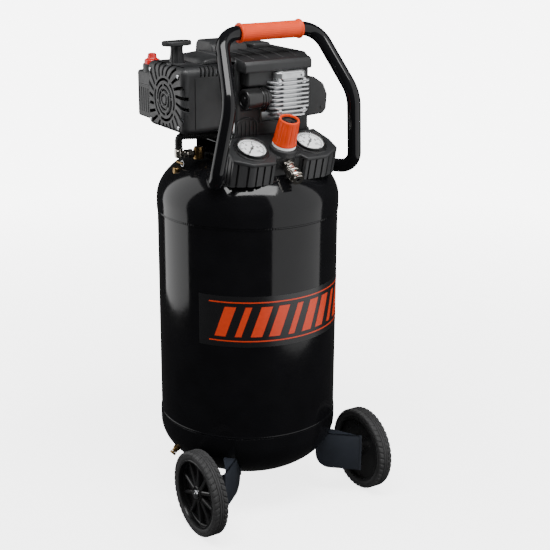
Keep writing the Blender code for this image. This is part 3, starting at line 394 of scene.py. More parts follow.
def softened(corners, radii, per_bend=12):
    """A path through corner points, each inner corner replaced by an arc of the given radius."""
    path = [Vector(corners[0])]
    for index in range(1, len(corners) - 1):
        here = Vector(corners[index])
        back = (Vector(corners[index - 1]) - here).normalized()
        ahead = (Vector(corners[index + 1]) - here).normalized()
        half = back.angle(ahead) / 2
        radius = radii[index - 1]
        reach = radius / tan(half)
        centre = here + (back + ahead).normalized() * (radius / sin(half))
        start = here + back * reach - centre
        normal = start.cross(here + ahead * reach - centre).normalized()
        sweep = pi - 2 * half
        for step in range(per_bend + 1):
            path.append(centre + Matrix.Rotation(sweep * step / per_bend, 3, normal) @ start)
    path.append(Vector(corners[-1]))
    return path


def evenly(path, spacing):
    """The same path with points about `spacing` apart."""
    result = [path[0]]
    for start, end in zip(path, path[1:]):
        pieces = max(1, round((end - start).length / spacing))
        result += [start.lerp(end, n / pieces) for n in range(1, pieces + 1)]
    return result


def swept(path, radius, steps=28, closed=False, shape=None):
    """A round bar along a path. `shape(index)` may scale its radius at each point."""
    count = len(path)
    tangents = []
    for index in range(count):
        if closed:
            ahead = path[(index + 1) % count] - path[index - 1]
        else:
            ahead = path[min(index + 1, count - 1)] - path[max(index - 1, 0)]
        tangents.append(ahead.normalized())
    across = tangents[0].orthogonal().normalized()
    points = []
    for index in range(count):
        if index:
            across = tangents[index - 1].rotation_difference(tangents[index]) @ across
        other = tangents[index].cross(across)
        reach = radius * (shape(index) if shape else 1.0)
        for step in range(steps):
            angle = 2 * pi * step / steps
            points.append(path[index] + reach * (across * cos(angle) + other * sin(angle)))
    faces = []
    for index in range(count if closed else count - 1):
        a = index * steps
        b = ((index + 1) % count) * steps
        for step in range(steps):
            following = (step + 1) % steps
            faces.append((a + step, a + following, b + following, b + step))
    if not closed:
        last = (count - 1) * steps
        faces.append(tuple(range(steps)))
        faces.append(tuple(range(last + steps - 1, last - 1, -1)))
    return solid(points, faces)


def piece(name, draft, slot, nodes=(), body=None, look=None, smooth=32.0):
    """Names a draft, finishes it, and puts it on its body in place of its CAD nodes."""
    nodes = (nodes,) if isinstance(nodes, str) else tuple(nodes)
    draft.name = name
    draft.data.name = name
    draft.data.materials.clear()
    draft.data.materials.append(look or LOOKS[slot])
    draft.data.shade_smooth()
    draft.data.set_sharp_from_angle(angle=radians(smooth))
    draft.location = SHIFT
    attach(draft, body or NODE_BODY[nodes[0]])
    if nodes:
        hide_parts(*nodes)
    return draft


BASE = "compressor"


# ---------------------------------------------------------------- camera, light and floor
CAMERA_AZIMUTH = -0.5474
CAMERA_DISTANCE = 2.2575
CAMERA_HEIGHT = 1.1685
CAMERA_DIP = 0.314


def build_stage():
    around = Vector((sin(CAMERA_AZIMUTH), -cos(CAMERA_AZIMUTH), 0.0))
    rightward = Vector((cos(CAMERA_AZIMUTH), sin(CAMERA_AZIMUTH), 0.0))
    view = -around * cos(CAMERA_DIP) - Z_AXIS * sin(CAMERA_DIP)
    upward = -around * sin(CAMERA_DIP) + Z_AXIS * cos(CAMERA_DIP)
    placed = Matrix((rightward, upward, -view)).transposed().to_4x4()
    placed.translation = around * CAMERA_DISTANCE + Z_AXIS * CAMERA_HEIGHT + SHIFT
    lens = bpy.data.cameras.new("camera")
    lens.lens = 80.717
    lens.sensor_width = 36.0
    lens.shift_x = 0.04986
    lens.clip_start = 0.05
    camera = bpy.data.objects.new("camera", lens)
    camera.matrix_world = placed
    bpy.context.scene.collection.objects.link(camera)
    bpy.context.scene.camera = camera

    floor = plan_prism([(-12, -12), (12, -12), (12, 12), (-12, 12)], -0.02, 0.0)
    floor.name = "floor"
    pale = bpy.data.materials.new("pale_floor")
    pale.use_nodes = True
    nodes = pale.node_tree.nodes
    links = pale.node_tree.links
    shader = nodes["Principled BSDF"]
    shader.inputs["Roughness"].default_value = 0.9
    shader.inputs["Emission Color"].default_value = (1.0, 1.0, 1.0, 1.0)
    shader.inputs["Emission Strength"].default_value = 3.2
    drift = noise(nodes, links, 0.6)
    links.new(mixed(nodes, links, drift, (0.86, 0.86, 0.86), (0.9, 0.9, 0.9)), shader.inputs["Base Color"])
    distance = nodes.new("ShaderNodeVectorMath")
    distance.operation = "LENGTH"
    links.new(nodes.new("ShaderNodeTexCoord").outputs["Object"], distance.inputs[0])
    away = spread_range(nodes, links, distance.outputs["Value"], 0.0, 1.0, 0.5, 2.4)
    glow = nodes.new("ShaderNodeEmission")
    glow.inputs["Color"].default_value = (1.0, 1.0, 1.0, 1.0)
    glow.inputs["Strength"].default_value = 7.0
    blend = nodes.new("ShaderNodeMixShader")
    links.new(away, blend.inputs[0])
    links.new(shader.outputs[0], blend.inputs[1])
    links.new(glow.outputs[0], blend.inputs[2])
    links.new(blend.outputs[0], nodes["Material Output"].inputs["Surface"])
    floor.data.materials.append(pale)
    floor.visible_glossy = False
    floor.visible_diffuse = False

    world = bpy.data.worlds.new("studio")
    bpy.context.scene.world = world
    world.use_nodes = True
    nodes = world.node_tree.nodes
    links = world.node_tree.links
    ray = nodes.new("ShaderNodeLightPath")
    back = nodes["Background"]
    back.inputs["Color"].default_value = (1.0, 1.0, 1.0, 1.0)
    soft = nodes.new("ShaderNodeMath")
    soft.operation = "MULTIPLY_ADD"
    soft.inputs[1].default_value = 0.55
    soft.inputs[2].default_value = 0.035
    links.new(ray.outputs["Is Diffuse Ray"], soft.inputs[0])
    total = nodes.new("ShaderNodeMath")
    total.operation = "MULTIPLY_ADD"
    total.inputs[1].default_value = 7.0
    links.new(ray.outputs["Is Camera Ray"], total.inputs[0])
    links.new(soft.outputs[0], total.inputs[2])
    links.new(total.outputs[0], back.inputs["Strength"])

    def softbox(name, azimuth, distance, height, width, tall, power, aim_height=None):
        data = bpy.data.lights.new(name, "AREA")
        data.shape = "RECTANGLE"
        data.size = width
        data.size_y = tall
        data.energy = power
        lamp = bpy.data.objects.new(name, data)
        lamp.location = Vector((sin(azimuth) * distance, -cos(azimuth) * distance, height)) + SHIFT
        target = SHIFT + Z_AXIS * (height if aim_height is None else aim_height)
        lamp.rotation_euler = (lamp.location - target).to_track_quat("Z", "Y").to_euler()
        bpy.context.scene.collection.objects.link(lamp)

    softbox("softbox_right", radians(32.0), 0.94, 1.02, 1.3, 2.0, 14.0)
    softbox("softbox_left", radians(-131.0), 1.18, 1.02, 1.05, 2.0, 16.0)
    softbox("softbox_top", CAMERA_AZIMUTH + 0.1, 0.75, 2.2, 1.7, 0.7, 52.0, 0.5)


build_stage()


# ---------------------------------------------------------------- tank
TANK_RADIUS = 0.17
HEAD_RADIUS = 0.1714
HEAD_FLANGE = 0.02
HEAD_DOME = 0.1
SEAM_LOW = 0.169
SEAM_HIGH = 0.575
BACK = pi / 2  # the angle of the tank's back in the lathe's own turn


def bump(distance, width):
    """1 in the middle of a band and 0 outside it, with a smooth side."""
    return max(0.0, 1.0 - (distance / width) ** 2) ** 2


def dome_profile(radius, flange, dome, steps=26):
    points = [(radius - 0.0012, 0.0), (radius, 0.0007), (radius, flange * 0.5)]
    for step in range(steps):
        angle = (pi / 2) * step / steps
        points.append((radius * cos(angle), flange + dome * sin(angle)))
    points.append((0.0, flange + dome))
    return points


def dome_height(radius):
    return HEAD_FLANGE + HEAD_DOME * sqrt(1 - (radius / HEAD_RADIUS) ** 2)


def dome_z(x, y):
    return SEAM_HIGH + dome_height(sqrt(x * x + y * y))


def dome_cutter(rim_z, towards):
    profile = [(0.0, -0.05), (HEAD_RADIUS, -0.05)] + dome_profile(HEAD_RADIUS, HEAD_FLANGE,
        HEAD_DOME - 0.0002)[1:]
    return turned(profile, (0, 0, rim_z), towards, steps=96)


def curved_band(left, right, low, high, radius, lean=0.0, columns=24):
    """A thin sheet on the tank between two arc lengths; `lean` slants its ends."""
    points = []
    faces = []
    rows = 6
    for column in range(columns + 1):
        for row in range(rows + 1):
            up = row / rows
            arc = left + (right - left) * column / columns + lean * (up - 0.5)
            z = low + (high - low) * up
            angle = arc / TANK_RADIUS
            points.append((radius * sin(angle), -radius * cos(angle), z))
    for column in range(columns):
        for row in range(rows):
            a = column * (rows + 1) + row
            faces.append((a, a + 1, a + rows + 2, a + rows + 1))
    band = solid(points, faces)
    thick = band.modifiers.new("thickness", "SOLIDIFY")
    thick.thickness = 0.0003
    thick.offset = 0.0
    return settle(band)


def build_tank():
    def shell_shape(angle, radius, height):
        away = abs((angle - BACK + pi) % (2 * pi) - pi) * radius
        ripple = 0.75 + 0.25 * sin(height * 2 * pi / 0.0032)
        return radius + 0.0011 * bump(away, 0.004) * ripple

    heights = [SEAM_LOW + (SEAM_HIGH - SEAM_LOW) * n / 250 for n in range(251)]
    shell = turned([(0.15, SEAM_LOW)] + [(TANK_RADIUS, z) for z in heights] + [(0.15, SEAM_HIGH)],
        steps=240, shape=shell_shape)
    piece("tank_body", shell, "black_enamel", "tank_shell", smooth=40)
    for label, rim, towards in (("top", SEAM_HIGH, Z_AXIS), ("bottom", SEAM_LOW, -Z_AXIS)):
        head = turned([(0.15, 0.0)] + dome_profile(HEAD_RADIUS, HEAD_FLANGE, HEAD_DOME), (0, 0, rim),
            towards, steps=160)
        piece(f"tank_head_{label}", head, "black_enamel", f"tank_{label}_head")

        def bead_shape(angle, radius, height):
            lump = 0.001 * bump(abs((angle + 0.24 + pi) % (2 * pi) - pi) * radius, 0.007)
            return radius + 0.00018 * sin(angle * 210) + (lump if height > -0.003 else 0.0)

        bead = turned([(0.168, -0.0034), (0.1702, -0.0034), (0.171, -0.0024), (0.17105, -0.001),
                (0.1706, 0.0), (0.168, 0.0)],
            (0, 0, rim), towards, steps=720, ring=True, shape=bead_shape)
        piece(f"weld_bead_{label}", bead, "black_enamel", body=BASE)
    socket = turned([(0.0, -0.004), (0.012, -0.004), (0.012, 0.0015), (0.0105, 0.003), (0.0, 0.003)],
        (0.06, 0.106, dome_z(0.06, 0.106) - 0.001), (0.25, 0.45, 1.0), steps=48)
    plug = hexagon(0.0078, (0.06, 0.106, dome_z(0.06, 0.106) - 0.001), (0.25, 0.45, 1.0), 0.002, 0.0085)
    piece("port_socket", socket, "black_enamel", body=BASE)
    piece("port_plug", plug, "brass", body=BASE)


def build_label():
    low, high = 0.352, 0.449
    backing = curved_band(-0.186, 0.186, low, high, TANK_RADIUS + 0.0001, columns=72)
    piece("label_backing", backing, "black_enamel", body=BASE, look=LABEL_BLACK)
    stripes = []
    count = 9
    pitch = 0.0335
    for n in range(count):
        middle = (n - (count - 1) / 2) * pitch
        half = 0.0105 if n % 3 != 1 else 0.006
        stripes.append(curved_band(middle - half, middle + half, low + 0.02, high - 0.02,
                TANK_RADIUS + 0.0003,
                lean=0.02, columns=8))
    for z in (low + 0.0105, high - 0.0125):
        stripes.append(curved_band(-0.165, 0.165, z, z + 0.0022, TANK_RADIUS + 0.0003, columns=64))
    piece("label_stripes", fused(*stripes), "orange_plastic", body=BASE, look=LABEL_ORANGE)


build_tank()
build_label()


# ---------------------------------------------------------------- drain valve
DRAIN_AXIS = Vector((-0.72, 0.0, -0.69)).normalized()
DRAIN_ROOT = Vector((-0.152, 0.01, 0.108))


def build_drain_valve():
    boss = turned([(0.0, -0.004), (0.0115, -0.004), (0.011, 0.003), (0.01, 0.004), (0.0, 0.004)],
        DRAIN_ROOT - DRAIN_AXIS * 0.002, DRAIN_AXIS, 48)
    piece("drain_boss", boss, "black_enamel", body=BASE)
    body = fused(
        turned([(0.0, 0.0), (0.0058, 0.0), (0.0055, 0.008), (0.0055, 0.0135), (0.005, 0.014),
                (0.0029, 0.014), (0.0029, 0.006), (0.0, 0.006)],
            DRAIN_ROOT, DRAIN_AXIS, 40),
        hexagon(0.0075, DRAIN_ROOT, DRAIN_AXIS, 0.0015, 0.0078),
    )
    piece("drain_body", body, "brass", "drain_valve_body")

    def knurl(angle, radius, height):
        if radius > 0.005 and 0.0147 < height < 0.0193:
            return radius * (1 - 0.05 * (0.5 + 0.5 * cos(angle * 22)))
        return radius

    screw = turned([(0.0, 0.007), (0.0022, 0.007), (0.0022, 0.0145), (0.006, 0.0145), (0.0065, 0.015),
            (0.0065, 0.019),
            (0.006, 0.0195), (0.0022, 0.0195), (0.0022, 0.018), (0.0, 0.018)], DRAIN_ROOT, DRAIN_AXIS,
        176, shape=knurl)
    piece("drain_screw", screw, "brass", "drain_valve_screw")


build_drain_valve()


# ---------------------------------------------------------------- wheels and their brackets
WHEEL_RADIUS = 0.0805
WHEEL_WIDTH = 0.028
WHEEL_OUTER_X = 0.1985
WHEEL_Y = -0.1365
RIM_OUTER = 0.065
RIM_INNER = 0.0615
BOSS_RADIUS = 0.015


def build_tyre(side, label, centre):
    half = WHEEL_WIDTH / 2
    shoulder = 0.78 * half
    profile = [(RIM_OUTER - 0.0004, -0.86 * half), (0.0665, -0.95 * half), (0.07, -half), (0.073, -half),
        (0.0736, -half + 0.0005),
        (0.0742, -half), (0.0775, -half), (0.0795, -0.92 * half)]
    treads = 24
    for n in range(treads + 1):
        profile.append((WHEEL_RADIUS, shoulder * (2 * n / treads - 1)))
    profile += [(0.0795, 0.92 * half), (0.0775, half), (0.0742, half), (0.0736, half - 0.0005),
        (0.073, half), (0.07, half),
        (0.0665, 0.95 * half), (RIM_OUTER - 0.0004, 0.86 * half)]
    lugs = 44

    def tread(angle, radius, height):
        if radius < 0.0772:
            return radius
        share = abs(height) / half
        turn = (angle / (2 * pi) * lugs + (0.5 if height > 0 else 0.0) + 0.55 * share) % 1.0
        groove = 0.0
        if share > 0.36:
            groove = max(0.0, 1.0 - (abs(turn - 0.5) / 0.17) ** 4) * 0.0019
        if abs(share - 0.33) < 0.055:
            groove = max(groove, 0.0015)
        if share < 0.05:
            groove = max(groove, 0.0011)
        return radius - groove

    tyre = turned(profile, centre, X_AXIS * side, steps=528, ring=True, shape=tread)
    piece(f"tyre_{label}", tyre, "tyre_rubber", f"wheel_{label}_tyre", smooth=38)


def build_hub(side, label, centre):
    half = WHEEL_WIDTH / 2
    low = -half + 0.0005
    high = half - 0.0045
    rim = turned([(RIM_INNER, -0.0135), (RIM_OUTER, -0.0135), (RIM_OUTER, 0.0125),
            (RIM_OUTER - 0.0008, 0.0132), (RIM_INNER + 0.0004, 0.0132),
            (RIM_INNER - 0.0002, 0.012), (RIM_INNER - 0.0002, 0.004), (RIM_INNER - 0.0022, 0.003),
            (RIM_INNER - 0.0022, -0.005),
            (RIM_INNER, -0.006)], centre, X_AXIS * side, 128, ring=True)
    boss = turned([(0.0054, low), (BOSS_RADIUS, low), (BOSS_RADIUS, high - 0.001),
            (BOSS_RADIUS - 0.001, high), (0.0115, high),
            (0.0112, high - 0.0008), (0.0095, high - 0.0008), (0.0092, high), (0.0054, high)], centre,
        X_AXIS * side, 72, ring=True)
    web = turned(pipe_ring(BOSS_RADIUS - 0.001, RIM_INNER + 0.001, -0.006, -0.0036), centre,
        X_AXIS * side, 96, ring=True)
    turn = Z_AXIS.rotation_difference(X_AXIS * side).to_matrix()
    parts = [rim, boss, web]
    pairs = 5
    for pair in range(pairs):
        for angle in (radians(2.7), radians(39.0)):
            heading = angle + 2 * pi * pair / pairs
            inner_heading = heading + (radians(6.0) if angle < 0.3 else -radians(6.0))
            start = Vector((cos(inner_heading), sin(inner_heading), 0)) * (BOSS_RADIUS - 0.001)
            end = Vector((cos(heading), sin(heading), 0)) * (RIM_INNER - 0.001)
            along = (end - start).normalized()
            across = Vector((-along.y, along.x, 0))
            outline = []
            for spot, wide, low_z, high_z in ((start, 0.0042, -0.005, 0.0072), (end, 0.003, -0.0055, 0.0036)):
                for sign, z in ((-1, low_z), (1, low_z), (1, high_z - 0.0012), (0.55, high_z),
                        (-0.55, high_z), (-1, high_z - 0.0012)):
                    outline.append(turn @ (spot + across * wide * sign + Vector((0, 0, z))) + centre)
            parts.append(loft(outline[:6], outline[6:]))
    hub = fused(*parts)
    piece(f"hub_{label}", hub, "black_plastic", f"wheel_{label}_hub")


def build_wheel(side, label):
    centre = Vector((side * (WHEEL_OUTER_X - WHEEL_WIDTH / 2), WHEEL_Y, WHEEL_RADIUS))
    build_tyre(side, label, centre)
    build_hub(side, label, centre)
    half = WHEEL_WIDTH / 2
    plate = 0.152 - centre.x * side
    hub_low = -half + 0.0005
    hub_high = half - 0.0045
    bolt = fused(
        hexagon(0.0085, centre, X_AXIS * side, hub_high + 0.0012, half - 0.0005),
        turned([(0.0, hub_high + 0.0003), (0.0092, hub_high + 0.0003), (0.0092, hub_high + 0.0013),
                (0.0, hub_high + 0.0013)], centre, X_AXIS * side, 48),
        turned([(0.0, half - 0.001), (0.004, half - 0.001), (0.0036, half - 0.0002),
                (0.0, half - 0.0002)], centre, X_AXIS * side, 32),
        turned([(0.0, plate - 0.006), (0.005, plate - 0.006), (0.005, hub_high), (0.0, hub_high)], centre,
            X_AXIS * side, 32),
        turned([(0.0, plate + 0.0033), (0.008, plate + 0.0033), (0.008, hub_low - 0.0003),
                (0.0, hub_low - 0.0003)], centre, X_AXIS * side, 40),
        hexagon(0.0085, centre, -X_AXIS * side, 0.0013 - plate, 0.008 - plate),
    )
    piece(f"axle_bolt_{label}", bolt, "bright_steel", f"wheel_{label}_axle_bolt")


def build_wheel_bracket(side, label):
    plate_x = 0.152
    sheet = 0.003
    low, high = 0.0545, 0.128
    inner = Vector((0.0864, -0.1159))
    outer = Vector((plate_x, -0.1735))
    back_y = WHEEL_Y + 0.018
    along = (outer - inner).normalized()
    inward = Vector((-along.y, along.x)) * sheet
    round_radius = 0.028
    rise = high - low
    length = (outer - inner).length
    face = [(0.0, rise), (0.0, round_radius)]
    for step in range(1, 16):
        angle = (pi / 2) * step / 16
        face.append((round_radius * (1 - cos(angle)), round_radius * (1 - sin(angle))))
    face += [(round_radius, 0.0), (length, 0.0), (length, rise)]
    front = []
    behind = []
    for distance, height in face:
        spot = inner + along * distance
        front.append((side * spot.x, spot.y, low + height))
        behind.append((side * (spot.x + inward.x), spot.y + inward.y, low + height))
    bracket = rounded(loft(front, behind), 0.0007, 2)
    top = [tuple(inner), tuple(outer), (0.125, -0.118), (0.1, -0.1)]
    flange = rounded(plan_prism([(side * x, y) for x, y in top], high - sheet, high), 0.0007, 2)
    front_y = outer.y - 0.001
    plate = [(front_y, low), (back_y, low + 0.011), (back_y, high - 0.033), (front_y, high)]
    x_pair = sorted((side * (plate_x - 0.001), side * (plate_x + sheet)))
    cheek = rounded(side_prism(plate, *x_pair), 0.0009, 3)
    bend = turned([(0.0, low + 0.0004), (0.0023, low + 0.0004), (0.0023, high - 0.0004),
            (0.0, high - 0.0004)],
        (side * (plate_x + 0.001), front_y + 0.0016, 0.0), Z_AXIS, 32)
    weld_path = [Vector((side * (0.0864 + 0.001), -0.1159 - 0.0012, z)) for z in (high - 0.002,
            high - 0.02, high - 0.044)]
    weld_path = evenly(weld_path, 0.0012)
    weld = swept(weld_path, 0.002, 12, shape=lambda index: 1.0 + 0.16 * sin(index * 2.4))
    piece(f"bracket_{label}", fused(bracket, flange, cheek, bend, weld), "bracket_paint",
        f"wheel_bracket_{label}")


for wheel_side, wheel_label in ((-1, "left"), (1, "right")):
    build_wheel(wheel_side, wheel_label)
    build_wheel_bracket(wheel_side, wheel_label)


# ---------------------------------------------------------------- rear foot
def build_rear_foot():
    y = 0.118
    pad = turned([(0.0, 0.0), (0.018, 0.0), (0.019, 0.0012), (0.0188, 0.004), (0.018, 0.0046),
            (0.018, 0.0056), (0.0184, 0.0062),
            (0.0172, 0.015), (0.0164, 0.0156), (0.0164, 0.0166), (0.016, 0.0195), (0.015, 0.02),
            (0.0, 0.02)], (0, y, 0), steps=96)
    piece("foot_pad", pad, "black_rubber", "rear_foot_pad")
    low = 0.0203
    leg = [(y - 0.02, low), (y + 0.02, low), (y + 0.02, low + 0.003), (y - 0.015, low + 0.003),
        (y - 0.017, low + 0.005),
        (y - 0.017, 0.11), (y - 0.02, 0.11)]
    bracket = rounded(cut(side_prism(leg, -0.03, 0.03), dome_cutter(SEAM_LOW, -Z_AXIS)), 0.0007, 2)
    gussets = []
    for side in (-1, 1):
        rib = [(y - 0.0175, low + 0.002), (y + 0.012, low + 0.002), (y + 0.012, low + 0.005),
            (y - 0.01, low + 0.022), (y - 0.0175, low + 0.022)]
        gussets.append(rounded(side_prism(rib, side * 0.024 - 0.0013, side * 0.024 + 0.0013), 0.0005, 2))
    piece("foot_bracket", fused(bracket, *gussets), "bracket_paint", "rear_foot_bracket")
    piece("foot_bolt", hexagon(0.0075, (0, y, low + 0.003), Z_AXIS, 0.0, 0.005), "bright_steel", body=BASE)


build_rear_foot()


# ---------------------------------------------------------------- handle
HANDLE_TOP = Vector((0.0, -0.0735, 0.9075))
GRIP_HALF = 0.064


def build_handle():
    right = [(0.099, HANDLE_TOP.y, HANDLE_TOP.z), (0.1285, -0.1535, 0.797), (0.148, -0.1345, 0.657),
        (0.105, -0.0505, 0.655)]
    left = [(-x, y, z) for x, y, z in reversed(right)]
    path = softened(left + right, (0.032, 0.06, 0.042, 0.042, 0.06, 0.032), 20)
    tube = swept(path, 0.0125, 36)
    cut(tube, dome_cutter(SEAM_HIGH, Z_AXIS))
    piece("handle_bar", tube, "black_enamel", "handle_tube", smooth=50)

    def foam(angle, radius, height):
        if radius < 0.0148 or abs(height) > GRIP_HALF - 0.007:
            return radius
        fade = min(1.0, (GRIP_HALF - 0.007 - abs(height)) / 0.004)
        return radius - 0.00028 * fade * (0.5 - 0.5 * cos(angle * 30))

    half = GRIP_HALF
    profile = [(0.0127, -half), (0.0166, -half), (0.0172, -half + 0.0006), (0.0175, -half + 0.0018),
        (0.0175, -half + 0.0032),
        (0.017, -half + 0.0042), (0.0158, -half + 0.0052), (0.0155, -half + 0.0066)]
    profile += [(0.0152 + 0.0003 * abs(n) / 20, (half - 0.0072) * n / 20) for n in range(-20, 21)]
    profile += [(radius, -height) for radius, height in reversed(profile[:8])]
    grip = turned(profile, HANDLE_TOP, X_AXIS, 180, ring=True, shape=foam)
    piece("grip", grip, "orange_rubber", "handle_grip", smooth=50)


build_handle()


# ---------------------------------------------------------------- pump platform and rubber mounts
PLATFORM_TOP = 0.7045
MOUNT_PLACES = {"front_left": (-0.05, -0.045), "front_right": (0.068, -0.045),
    "rear_left": (-0.05, 0.045), "rear_right": (0.068, 0.045)}


def build_platform():
    top = PLATFORM_TOP
    under = top - 0.003
    outline = [(-0.06, 0.65), (-0.057, 0.65), (-0.057, under), (0.072, under), (0.072, 0.65),
        (0.075, 0.65), (0.075, top), (-0.06, top)]
    platform = rounded(side_prism(outline, -0.068, 0.088), 0.0016, 3)
    cut(platform, dome_cutter(SEAM_HIGH, Z_AXIS))
    piece("platform", platform, "black_enamel", "pump_platform")
    for label, (x, y) in MOUNT_PLACES.items():
        base = top + 0.0003
        rubber = turned([(0.0, 0.0), (0.0104, 0.0), (0.011, 0.0006), (0.011, 0.0022), (0.0098, 0.0036),
                (0.0095, 0.0055), (0.0098, 0.0074),
                (0.011, 0.0088), (0.011, 0.0104), (0.0104, 0.011), (0.0, 0.011)], (x, y, base), steps=56)
        piece(f"mount_{label}", rubber, "black_rubber", f"pump_mount_{label}")
        bolt = fused(
            turned([(0.0, 0.0165), (0.0085, 0.0165), (0.0085, 0.0177), (0.0, 0.0177)], (x, y, base),
                steps=40),
            hexagon(0.0062, (x, y, base), Z_AXIS, 0.0177, 0.022),
        )
        piece(f"mount_bolt_{label}", bolt, "bright_steel", body=BASE)


build_platform()


# ---------------------------------------------------------------- electric motor
PUMP_AXIS_Z = 0.79
COVER_X = (-0.172, -0.075)
COVER_HALF_Y = 0.068
COVER_Z = (0.736, 0.852)
KNOB_STEM_X = -0.146
WALL = 0.003


def grille_slots():
    """Curved radial openings that run from the fan grille's middle round onto the cover's rounded edge."""
    slots = []
    count = 22
    for slot in range(count):
        base = 2 * pi * slot / count
        sides = ([], [])
        for step in range(9):
            share = step / 8
            reach = 0.0425 + (0.0705 - 0.0425) * share
            angle = base + radians(9) * share
            half = 0.0026 + 0.0011 * share
            for side, sign in zip(sides, (-1, 1)):
                bend = angle + sign * half / reach
                side.append((cos(bend) * reach, sin(bend) * reach))
        points = sides[0] + list(reversed(sides[1]))
        outline = [(y, PUMP_AXIS_Z + z) for y, z in points]
        slots.append(side_prism(outline, COVER_X[0] - 0.004, COVER_X[0] + 0.0125))
    for inner, outer, first in ((0.0075, 0.0102, 0.3), (0.0155, 0.019, 0.9), (0.0242, 0.0282, 1.4),
            (0.0335, 0.0385, 0.5)):
        for quarter in range(4):
            arc = []
            for reach, order in ((inner, range(13)), (outer, reversed(range(13)))):
                for step in order:
                    angle = first + (quarter + 0.06 + 0.88 * step / 12) * pi / 2
                    arc.append((cos(angle) * reach, PUMP_AXIS_Z + sin(angle) * reach))
            slots.append(side_prism(arc, COVER_X[0] - 0.004, COVER_X[0] + 0.006))
    return fused(*slots)


def build_motor_cover():
    x_low, x_high = COVER_X
    z_low, z_high = COVER_Z
    half = COVER_HALF_Y
    cover = rounded(block((x_low, -half, z_low), (x_high, half, z_high)), 0.012, 6)
    hollow = rounded(block((x_low + WALL, -half + WALL, z_low + WALL),
            (x_high + 0.02, half - WALL, z_high - WALL)), 0.009, 3)
    cut(cover, hollow)
    cut(cover, grille_slots())
    hole = turned([(0.0, -0.02), (0.0141, -0.02), (0.0141, 0.02), (0.0, 0.02)], (KNOB_STEM_X, 0, z_high),
        steps=48)
    cut(cover, hole)
    grooves = []
    for x, wide in ((-0.1475, 0.0016), (-0.0905, 0.0012)):
        grooves.append(block((x - wide / 2, -half - 0.002, z_low + 0.006),
                (x + wide / 2, -half + 0.0014, z_high - 0.018)))
        grooves.append(block((x - wide / 2, half - 0.0014, z_low + 0.006),
                (x + wide / 2, half + 0.002, z_high - 0.018)))
    for n in range(7):
        x = -0.138 + 0.008 * n
        outline = [(x, z_high - 0.0165), (x + 0.0034, z_high - 0.0165), (x + 0.0074, z_high + 0.003),
            (x + 0.004, z_high + 0.003)]
        for y in (-half - 0.002, half - 0.0115):
            grooves.append(front_prism(outline, y, y + 0.0135))
    cut(cover, fused(*grooves))
    trims = [
        turned([(0.0198, -0.0006), (0.0204, 0.001), (0.0226, 0.001), (0.0234, -0.0006)],
            (x_low, 0, PUMP_AXIS_Z), -X_AXIS, 96, ring=True),
        turned([(0.011, -0.0006), (0.0116, 0.001), (0.014, 0.001), (0.0146, -0.0006)],
            (x_low, 0, PUMP_AXIS_Z), -X_AXIS, 80, ring=True),
        turned([(0.0, 0.0012), (0.006, 0.001), (0.0078, -0.0006), (0.0, -0.0006)],
            (x_low, 0, PUMP_AXIS_Z), -X_AXIS, 64),
        rounded(block((x_low + 0.01, -half + 0.012, z_high - 0.0005),
                (-0.162, half - 0.012, z_high + 0.001)), 0.0006, 2),
        turned([(0.0141, -0.001), (0.0185, -0.001), (0.018, 0.0014), (0.015, 0.0022), (0.0141, 0.0018)],
            (KNOB_STEM_X, 0, z_high), steps=72, ring=True),
    ]
    for y in (-0.052, 0.052):
        for z in (z_low + 0.012, z_high - 0.014):
            trims.append(turned([(0.0, -0.001), (0.0048, -0.001), (0.0046, 0.0008), (0.0036, 0.0013),
                        (0.0, 0.0013)], (x_low, y, z), -X_AXIS, 32))
    piece("motor_housing", fused(cover, *trims), "grey_plastic", "motor_cover")
    hump = [(-0.118, z_high - 0.002), (-0.112, z_high + 0.0085), (-0.082, z_high + 0.0115),
        (x_high - 0.0002, z_high + 0.0115), (x_high - 0.0002, z_high - 0.002)]
    back = rounded(front_prism(hump, -0.042, 0.056), 0.004, 3)
    piece("motor_hump", back, "grey_plastic", body=BASE)
    screws = []
    for y in (-0.052, 0.052):
        for z in (z_low + 0.012, z_high - 0.014):
            screw = turned([(0.0, 0.0008), (0.0033, 0.0008), (0.0031, 0.002), (0.002, 0.0025),
                    (0.0, 0.0025)], (x_low, y, z), -X_AXIS, 32)
            slot = [
                block((x_low - 0.004, y - 0.0022, z - 0.0004), (x_low - 0.0016, y + 0.0022, z + 0.0004)),
                block((x_low - 0.004, y - 0.0004, z - 0.0022), (x_low - 0.0016, y + 0.0004, z + 0.0022)),
            ]
            for bar in slot:
                cut(screw, bar)
            screws.append(screw)
    piece("motor_screws", fused(*screws), "bright_steel", body=BASE)


def build_fan():
    axis = (0.0, 0.0, PUMP_AXIS_Z)
    disc = turned([(0.0075, -0.163), (0.0112, -0.163), (0.012, -0.1622), (0.012, -0.154),
            (0.0405, -0.1536), (0.041, -0.153), (0.0405, -0.152),
            (0.0075, -0.152)], axis, X_AXIS, 72, ring=True)
    blades = []
    for vane in range(9):
        turn = 2 * pi * vane / 9
        outline = []
        for step in range(7):
            share = step / 6
            reach = 0.011 + 0.029 * share
            angle = turn + 0.35 * share
            outline.append((reach * cos(angle), PUMP_AXIS_Z + reach * sin(angle)))
        thick = [(y + 0.0016 * sin(turn), z - 0.0016 * cos(turn)) for y, z in reversed(outline)]
        blades.append(side_prism(outline + thick, -0.1622, -0.1528))
    piece("fan", fused(disc, *blades), "black_plastic", "cooling_fan")


